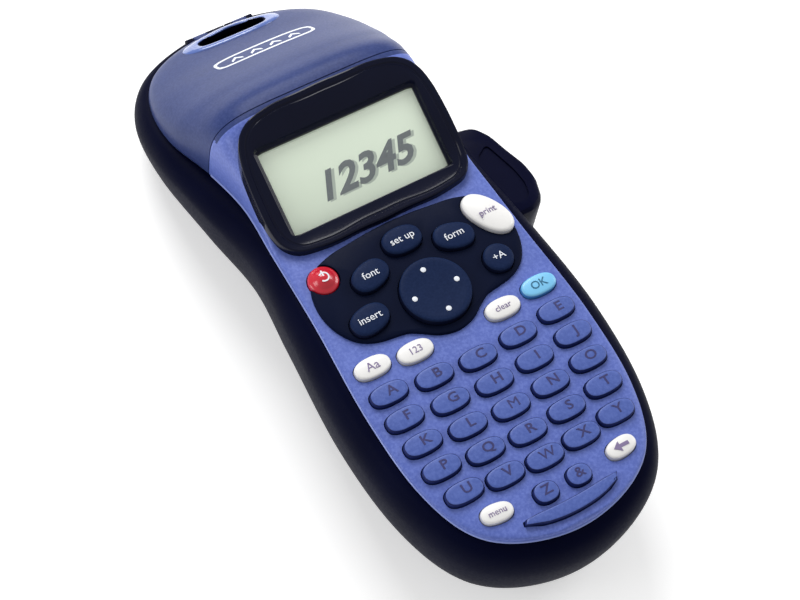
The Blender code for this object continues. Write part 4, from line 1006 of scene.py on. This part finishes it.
def makeKey(name, key):
    look = keyLooks[key["look"]]
    edge = look["edge"]
    foot, flange = keypad["foot"], keypad["flange"]
    rings = [(keypad["flangeWidth"], foot), (keypad["flangeWidth"], foot + flange), (0.0, foot + flange),
             (0.0, capHeight(key, 1.0) - edge)]
    bm = bmesh.new()
    sides = [lifted(keyOutline(key, grow), z) for grow, z in rings]
    tops = [sides[-1]]
    for turn in (30, 60, 90):
        grow = -edge * (1 - math.cos(math.radians(turn)))
        z = capHeight(key, 1.0) - edge * (1 - math.sin(math.radians(turn)))
        tops.append(lifted(keyOutline(key, grow), z))
    middle = tops[-1][:, :2].mean(0)
    for share in (0.88, 0.72, 0.54, 0.34, 0.14):
        flat = middle + (tops[3][:, :2] - middle) * share
        if key["look"] == "space":                              # rings close on the bar's bent middle
            flat = tops[3][:, :2].copy()
            flat[:, 1] += (keypad["spaceY"] + 1.2 * (flat[:, 0] / 14.3) ** 2 - flat[:, 1]) * (1 - share)
        tops.append(lifted(flat, capHeight(key, share)))
    faces = stackRings(bm, sides + tops[1:])
    # walls and the lower part of the rounding take the side finish, a darker copy of the cap's: painted shade
    below = (capHeight(key, 1.0) - edge * look["band"]) * mm
    for face in faces:
        face.material_index = 1 if face.calc_center_median().z < below else 0
    bmesh.ops.recalc_face_normals(bm, faces=bm.faces[:])
    addKeyMarks(bm, key)
    piece = newObject(name.replace("_key", "").replace("_", "") + "Cap", bm, outward=False)
    fit(piece, name, look["surfaces"], [name], sharp=40)


keyMarks = {
    "sizes": {"Aa": 3.4, "123": 2.7, "clear": 2.4, "OK": 3.2, "menu": 2.3, "print": 2.6},
    "letter": 3.7, "navy": 2.9,
    "arrow": [(-0.4, -1.45), (-0.4, -0.5), (2.1, -0.5), (2.1, 0.5), (-0.4, 0.5), (-0.4, 1.45), (-2.3, 0.0)],
    "ring": 1.25, "ringFrom": -140, "ringTurn": 280,
    "ringSection": [(-0.2, -0.05), (0.2, -0.05), (0.2, 0.06), (-0.2, 0.06)],
    "dots": 6.4, "dotSection": [(1.5, -0.1), (1.5, 0.05), (1.2, 0.12), (0.5, 0.15)],
}


def addKeyMarks(bm, key):
    x, y = key["at"]
    top, look, words = key["top"], key["look"], key["words"]
    if look == "letter":
        shift = 0.9 if key["size"][0] > 8 else 0.3
        addLegend(bm, words, keyMarks["letter"], (x + shift, y + 0.35, top), 2, film=0.05, wide=1.15,
                  bold=0.0 if words in "MW" else 0.05)
    elif words == "<":                                          # back arrow
        outline = np.array(keyMarks["arrow"]) + (x, y)
        stackRings(bm, [lifted(outline, top - 0.06), lifted(outline, top + 0.06)], material=2)
    elif look in ("white", "cyan"):
        addLegend(bm, words, keyMarks["sizes"][words], (x, y, top), 2, turn=key["angle"] * 0.5, film=0.06)
    elif look == "navy":
        addLegend(bm, words, keyMarks["navy"], (x, y, top), 2, film=0.06)
    elif look == "print":
        addLegend(bm, words, keyMarks["sizes"][words], (x - 0.2, y + 0.2, top), 2, film=0.08)
    elif look == "red":                                         # stand-by ring and bar
        rings = []
        z = capHeight(key, keyMarks["ring"] / 4.0)
        for step in range(25):
            angle = math.radians(keyMarks["ringFrom"] + keyMarks["ringTurn"] * step / 24)
            rings.append([Vector((x + (keyMarks["ring"] + out) * math.cos(angle),
                                  y + (keyMarks["ring"] + out) * math.sin(angle), z + up))
                          for out, up in keyMarks["ringSection"]])
        stackRings(bm, rings, material=2)
        addBlock(bm, (x - 0.2, y + 0.2, top - 0.1), (x + 0.2, y + 1.9, top - 0.02), material=2)
    elif look == "disc":                                        # four direction dots
        z = capHeight(key, 0.67)
        for angle in map(math.radians, range(0, 360, 90)):
            centre = (x + keyMarks["dots"] * math.cos(angle), y + keyMarks["dots"] * math.sin(angle))
            rings = [lifted(roundOval((wide, wide), 2.0, 0.0, centre, 20), z + rise)
                     for wide, rise in keyMarks["dotSection"]]
            stackRings(bm, rings, material=2)


def makeKeys():
    for name, key in keys.items():
        makeKey(name, key)


makePanel()
makeKeys()
print("control panel and", len(keys), "keys ready")


display = {
    "thick": 2.0, "seat": 0.3, "skirt": 3.2, "lensHalf": (23.4, 11.55), "lensLow": 0.5, "lensTop": 1.7,
    "centre": (0.0, 25.0), "shoulder": (19.0, 8.0),
    "outline": [(0.0, 44.1), (9.0, 43.9), (18.0, 43.3), (23.0, 42.0), (26.0, 39.9), (27.9, 37.0),
                (29.0, 33.4), (29.7, 27.5), (29.9, 21.0), (29.7, 15.5), (28.7, 11.4), (26.0, 8.1),
                (20.0, 6.6), (10.0, 6.3), (0.0, 6.2)],
    "section": [(0.0, 0.0), (0.0, 0.70), (-0.15, 0.88), (-0.55, 1.0), (-1.7, 1.0), (-1.95, 0.90),
                (-2.35, 0.90), (-2.6, 0.97), (-3.4, 0.93)],
    "opening": [(1.5, 0.93), (1.2, 0.86), (0.9, 0.50), (0.3, 0.36), (0.3, 0.0)],
}


def makeBezel():                                                # its faces follow the casing's bend
    bm = bmesh.new()
    tilt = math.atan(caseForm["slope"])
    lift = display["thick"] / math.cos(tilt)
    rings = []
    for grow, share in display["section"]:
        flat = closedOutline(display["centre"], display["outline"], 180, grow)
        height = faceLine(flat[:, 1]) + display["seat"] + lift * share
        if share == 0.0:                                        # skirt down to the casing's shoulders
            start, width = display["shoulder"]
            height = height - display["skirt"] * np.clip((np.abs(flat[:, 0]) - start) / width, 0.0, 1.0)
        rings.append(lifted(flat, height))
    turn = np.arctan2(rings[0][:, 1] - display["centre"][1], rings[0][:, 0])
    for grow, share in display["opening"]:
        halfX, halfY = display["lensHalf"][0] + grow, (display["lensHalf"][1] + grow) * math.cos(tilt)
        reach = 1 / np.maximum(np.abs(np.cos(turn)) / halfX, np.abs(np.sin(turn)) / halfY)
        flat = np.stack([reach * np.cos(turn), caseCuts["screenY"] + reach * np.sin(turn)], 1)
        plane = caseForm["face"] + caseForm["slope"] * (flat[:, 1] - caseForm["slopeStart"])
        level = faceLine(flat[:, 1]) if share > 0.8 else plane
        rings.append(lifted(flat, level + display["seat"] + lift * share))
    stackRings(bm, rings + [rings[0]], capFirst=False, capLast=False)
    bmesh.ops.remove_doubles(bm, verts=bm.verts[:], dist=2e-6)
    fit(newObject("bezelFrame", bm), "case", "bezelGloss", ["display_bezel"], sharp=22)


def makeWindow():
    bm = bmesh.new()
    rings = []
    low, top = display["lensLow"], display["lensTop"]
    for grow, height in ((0.0, low), (0.0, top - 0.3), (-0.1, top - 0.1), (-0.3, top)):
        half = (display["lensHalf"][0] + grow, display["lensHalf"][1] + grow)
        rings.append(lifted(roundedRectangle(half, 1.2, perCorner=8), height))
    stackRings(bm, rings)
    bmesh.ops.transform(bm, matrix=slopeMatrix(), verts=bm.verts[:])
    fit(newObject("windowLens", bm), "case", "lens", ["display_window"], sharp=40)


liquid = {"digits": "12345", "size": 10.6, "wide": 1.12, "lean": 0.36, "at": (1.6, -2.9), "turn": 0.02,
          "bold": 0.28}


def makeLiquidCrystal():
    bm = bmesh.new()
    halfX, halfY = display["lensHalf"][0] + 1.9, display["lensHalf"][1] + 1.9
    addBlock(bm, (-halfX, -halfY, -3.4), (halfX, halfY, -0.45), 0.3, 1)
    addBlock(bm, (-halfX + 1.0, -halfY + 1.0, -0.44), (halfX - 1.0, halfY - 1.0, -0.3), 0.05, 0)
    # second copy of the digits, offset right and down in lcdShade, is a painted shadow of the digits
    for shift, material, rise in ((0.75, 2, -0.29), (0.0, 3, -0.27)):
        addLegend(bm, liquid["digits"], liquid["size"],
                  (liquid["at"][0] + shift, liquid["at"][1] - shift * 0.6, rise), material, liquid["lean"],
                  liquid["turn"], film=0.02, wide=liquid["wide"], bold=liquid["bold"])
    bmesh.ops.transform(bm, matrix=slopeMatrix(), verts=bm.verts[:])
    fit(newObject("liquidCrystal", bm), "case", ["lcdGlass", "steel", "lcdShade", "lcdInk"],
        ["lcd_module"])


makeBezel()
makeWindow()
makeLiquidCrystal()
print("display ready")


lever = {
    "low": 12.5, "high": 29.5, "ribs": 7, "ribPitch": 2.3, "firstRib": 13.0, "corner": 1.6, "bore": 1.9,
    "foot": [(1.5, 0.0), (0.45, 0.5), (0.0, 1.6)],
    "crown": [(0.0, 3.0), (0.35, 1.3), (1.2, 0.35), (2.4, 0.0)],
    "outline": [(36.0, 26.8), (40.6, 25.8), (43.4, 21.4), (45.2, 14.8), (47.3, 8.4), (47.7, 3.0),
                (45.8, -3.0), (42.0, -5.2), (34.2, -5.2), (30.6, 0.0), (30.2, 20.0), (30.4, 26.4)],
    "dish": [(40.6, 18.6), (43.3, 8.4), (43.8, 3.0), (42.6, -1.2), (38.2, -1.6), (36.4, 4.0), (36.2, 16.0)],
}


def cornerRounded(points, radius, steps=5):                     # rounds the corners of a closed outline
    points = [Vector((*point, 0)) for point in points]
    rounded = []
    for before, here, after in zip(points[-1:] + points[:-1], points, points[1:] + points[:1]):
        reach = min(radius, (before - here).length * 0.45, (after - here).length * 0.45)
        start, end = here + (before - here).normalized() * reach, here + (after - here).normalized() * reach
        for step in range(steps + 1):
            t = step / steps
            point = start * (1 - t) ** 2 + here * (2 * t * (1 - t)) + end * t**2
            rounded.append((point.x, point.y))
    return np.array(rounded)


def makeLever():
    outline = np.array(lever["outline"])
    middle = outline.mean(0)
    reach = np.abs(outline - middle).max()
    rings = []
    levels = [(inset, lever["low"] + rise) for inset, rise in lever["foot"]]
    levels += [(inset, lever["high"] - drop) for inset, drop in lever["crown"]]
    for inset, z in levels:
        corners = middle + (outline - middle) * (1 - inset / reach)
        rings.append(lifted(cornerRounded(corners, lever["corner"]), z))
    bm = bmesh.new()
    stackRings(bm, rings)
    handle = newObject("cutterLever", bm)
    bm = bmesh.new()
    addBar(bm, lever["bore"], lever["low"] - 2.0, lever["high"] - 0.8, works["pivot"], "Z", 40)
    carve(handle, bm)
    bm = bmesh.new()
    for step in range(lever["ribs"]):                           # thumb grooves across the outer side
        y = lever["firstRib"] - step * lever["ribPitch"]
        outer = np.array(lever["outline"][7:1:-1])
        x = float(np.interp(y, outer[:, 1], outer[:, 0]))
        addBar(bm, 0.75, lever["low"] + 2.6, lever["high"] - 4.0, (x + 0.35, y), "Z", 20, 0.3)
    carve(handle, bm)
    bm = bmesh.new()
    dish = np.array(lever["dish"])                              # shallow panel in the top
    rings = [lifted(cornerRounded(dish, lever["corner"]), lever["high"] - 0.45),
             lifted(cornerRounded(dish + [[-0.2, 0]], lever["corner"]), lever["high"] + 1.0)]
    stackRings(bm, rings)
    carve(handle, bm)
    fit(handle, "lever", "navyGrip", ["cutter_lever"], sharp=30)


cutter = {"collarY": 49.7, "radius": 2.9, "wire": 0.45, "turns": 7.5, "edge": 82.6, "back": 79.72,
          "reach": -8.0, "travel": 4.5}


def makeCutter():
    x, z = works["rod"]
    bm = bmesh.new()
    addBar(bm, works["rodRadius"], 2.0, 80.0, (x, z), "Y", 40, 0.3)
    addBar(bm, cutter["radius"] + 0.8, cutter["collarY"] - 2.0, cutter["collarY"], (x, z), "Y", 40, 0.25)
    addBlock(bm, (x, 2.0, z - 1.6), (x + 4.8, 6.0, z + 1.4), 0.4)
    addBlock(bm, (x - 2.0, 76.0, z - 1.4), (x + 2.0, cutter["edge"], z + 1.4), 0.3)
    for step in range(2):                                       # rivets through the blade carrier
        addBar(bm, 0.6, z + 1.3, z + 1.65, (x, 78.0 + step * 2.6), "Z", 20, 0.1)
    rings = []
    for rise, bevelBack in ((-0.4, 0.0), (0.1, 0.0), (0.4, 0.9)):
        outline = [(x - 1.0, cutter["back"]), (x - 1.0, cutter["edge"] - bevelBack),
                   (cutter["reach"], cutter["edge"] - 0.8 - bevelBack), (cutter["reach"], cutter["back"])]
        rings.append(lifted(np.array(outline), z + rise))
    stackRings(bm, rings)
    fit(newObject("cutterRod", bm), "cutter", "steel", ["cutter_rod"])
    bm = bmesh.new()
    low, high = works["springY"]
    makeCoil(bm, (x, low + cutter["wire"], z), (0, 1, 0), cutter["radius"], cutter["radius"],
             high - low - 2 * cutter["wire"], cutter["turns"], cutter["wire"], 10, 28)
    spring = fit(newObject("returnSpring", bm), "cutter", "springSteel", ["return_spring"])
    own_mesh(spring)


makeLever()
makeCutter()
print("lever and cutter ready")


keptFinishes = {"main_board": "boardGreen", "print_head": "headCeramic", "platen_roller": "platenRubber",
                "motor_pinion": "acetal", "drive_motor": "steel", "tape_cassette": "cassetteIvory",
                "tape_roll": "paper"}


def finishKeptNodes():
    for node, surface in keptFinishes.items():
        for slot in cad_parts[node].material_slots:
            slot.material = finishes[surface]


board = {
    "top": 31.4, "low": 29.8, "pill": 1.9, "discPill": 1.5, "barPill": 1.6, "legPitch": 1.27,
    "chips": [  # place, size, height, legs
        ((-12.0, -20.0), (12.0, 12.0), 1.6, True), ((10.0, -40.0), (9.0, 7.0), 1.4, True),
        ((14.0, -8.0), (6.0, 5.0), 1.2, True), ((-14.0, -55.0), (5.0, 8.0), 1.8, False),
    ],
}


def makeBoardDetails():
    spots = [(board["pill"], key["at"]) for key in keys.values() if key["look"] not in ("disc", "space")]
    x, y = keys["nav_disc"]["at"]
    for angle in map(math.radians, range(0, 360, 90)):
        spots.append((board["discPill"], (x + 6.0 * math.cos(angle), y + 6.0 * math.sin(angle))))
    spots += [(board["barPill"], (x, -75.2)) for x in (-8.0, 0.0, 8.0)]
    bm = bmesh.new()
    for radius, place in spots:                                 # carbon pills under the keys
        addBar(bm, radius, board["top"] - 0.02, board["top"] + 0.35, place, "Z", 28, 0.12)
    fit(newObject("contactPills", bm), "case", "chip")
    bodies, legs = bmesh.new(), bmesh.new()
    low = board["low"]
    for (x, y), (wide, deep), tall, legged in board["chips"]:
        addBlock(bodies, (x - wide / 2, y - deep / 2, low - tall),
                 (x + wide / 2, y + deep / 2, low - 0.3), 0.15)
        dot = (x - wide / 2 + 1.2, y + deep / 2 - 1.2)
        addBar(bodies, 0.5, low - tall - 0.02, low - tall + 0.2, dot, "Z", 16)
        count = int(wide / board["legPitch"]) if legged else 0
        for step in range(count):
            px = x + (step - (count - 1) / 2) * board["legPitch"]
            for side in (-1, 1):
                near, far = sorted((y + side * deep / 2, y + side * (deep / 2 + 1.1)))
                addBlock(legs, (px - 0.22, near, low - 0.45), (px + 0.22, far, low - 0.02))
    fit(newObject("boardChips", bodies), "case", "chip")
    fit(newObject("chipLegs", legs), "case", "foil")


def makeMotorDetails():
    low, high = works["motorX"]
    centre = (works["motorY"], works["platen"][1])
    bm = bmesh.new()
    addBar(bm, 5.6, low - 0.9, low + 0.1, centre, "X", 48, 0.3)
    addBar(bm, 1.4, low - 1.6, low - 0.8, centre, "X", 24, 0.2)
    for side in (-1, 1):                                        # solder tags
        addBlock(bm, (low - 1.9, centre[0] + side * 3.6 - 0.7, centre[1] + 2.0),
                 (low - 0.6, centre[0] + side * 3.6 + 0.7, centre[1] + 2.4), 0.1)
    fit(newObject("motorCap", bm), "case", "acetal")
    bm = bmesh.new()
    addBar(bm, 0.75, high - 0.2, high + 4.4, centre, "X", 24, 0.1)
    fit(newObject("motorShaft", bm), "pinion", "steel")


cassette = {"centre": (54.6, 20.0), "side": 10.0, "hub": 2.2, "teeth": 6, "windings": 5, "core": 4.5,
            "layer": 1.75, "rollSide": 5.98}


def makeCassetteDetails():
    y, z = cassette["centre"]
    side = cassette["side"]
    bm = bmesh.new()
    addBar(bm, cassette["hub"], side - 2.1, side - 0.4, (y, z), "X", 36, 0.3)
    for tooth in range(cassette["teeth"]):
        angle = 2 * math.pi * tooth / cassette["teeth"]
        place = (y + 1.9 * math.cos(angle), z + 1.9 * math.sin(angle))
        addBar(bm, 0.35, side - 2.0, side - 0.3, place, "X", 12, 0.08)
    fit(newObject("cassetteHub", bm), "case", "cassetteIvory")
    bm = bmesh.new()
    turn = np.arange(72) * 2 * math.pi / 72
    for index in range(cassette["windings"]):                   # windings seen at the roll's open side
        radius = cassette["core"] + index * cassette["layer"]
        rings = []
        for grow, rise in ((-0.35, 0.0), (-0.3, 0.12), (0.3, 0.12), (0.35, 0.0)):
            x = np.full(len(turn), cassette["rollSide"] + rise)
            reach = radius + grow
            rings.append(np.stack([x, y + reach * np.cos(turn), z + reach * np.sin(turn)], 1))
        stackRings(bm, rings, False, False)
    fit(newObject("tapeWindings", bm), "roll", "paper")


finishKeptNodes()
makeBoardDetails()
makeMotorDetails()
makeCassetteDetails()
print("works ready")
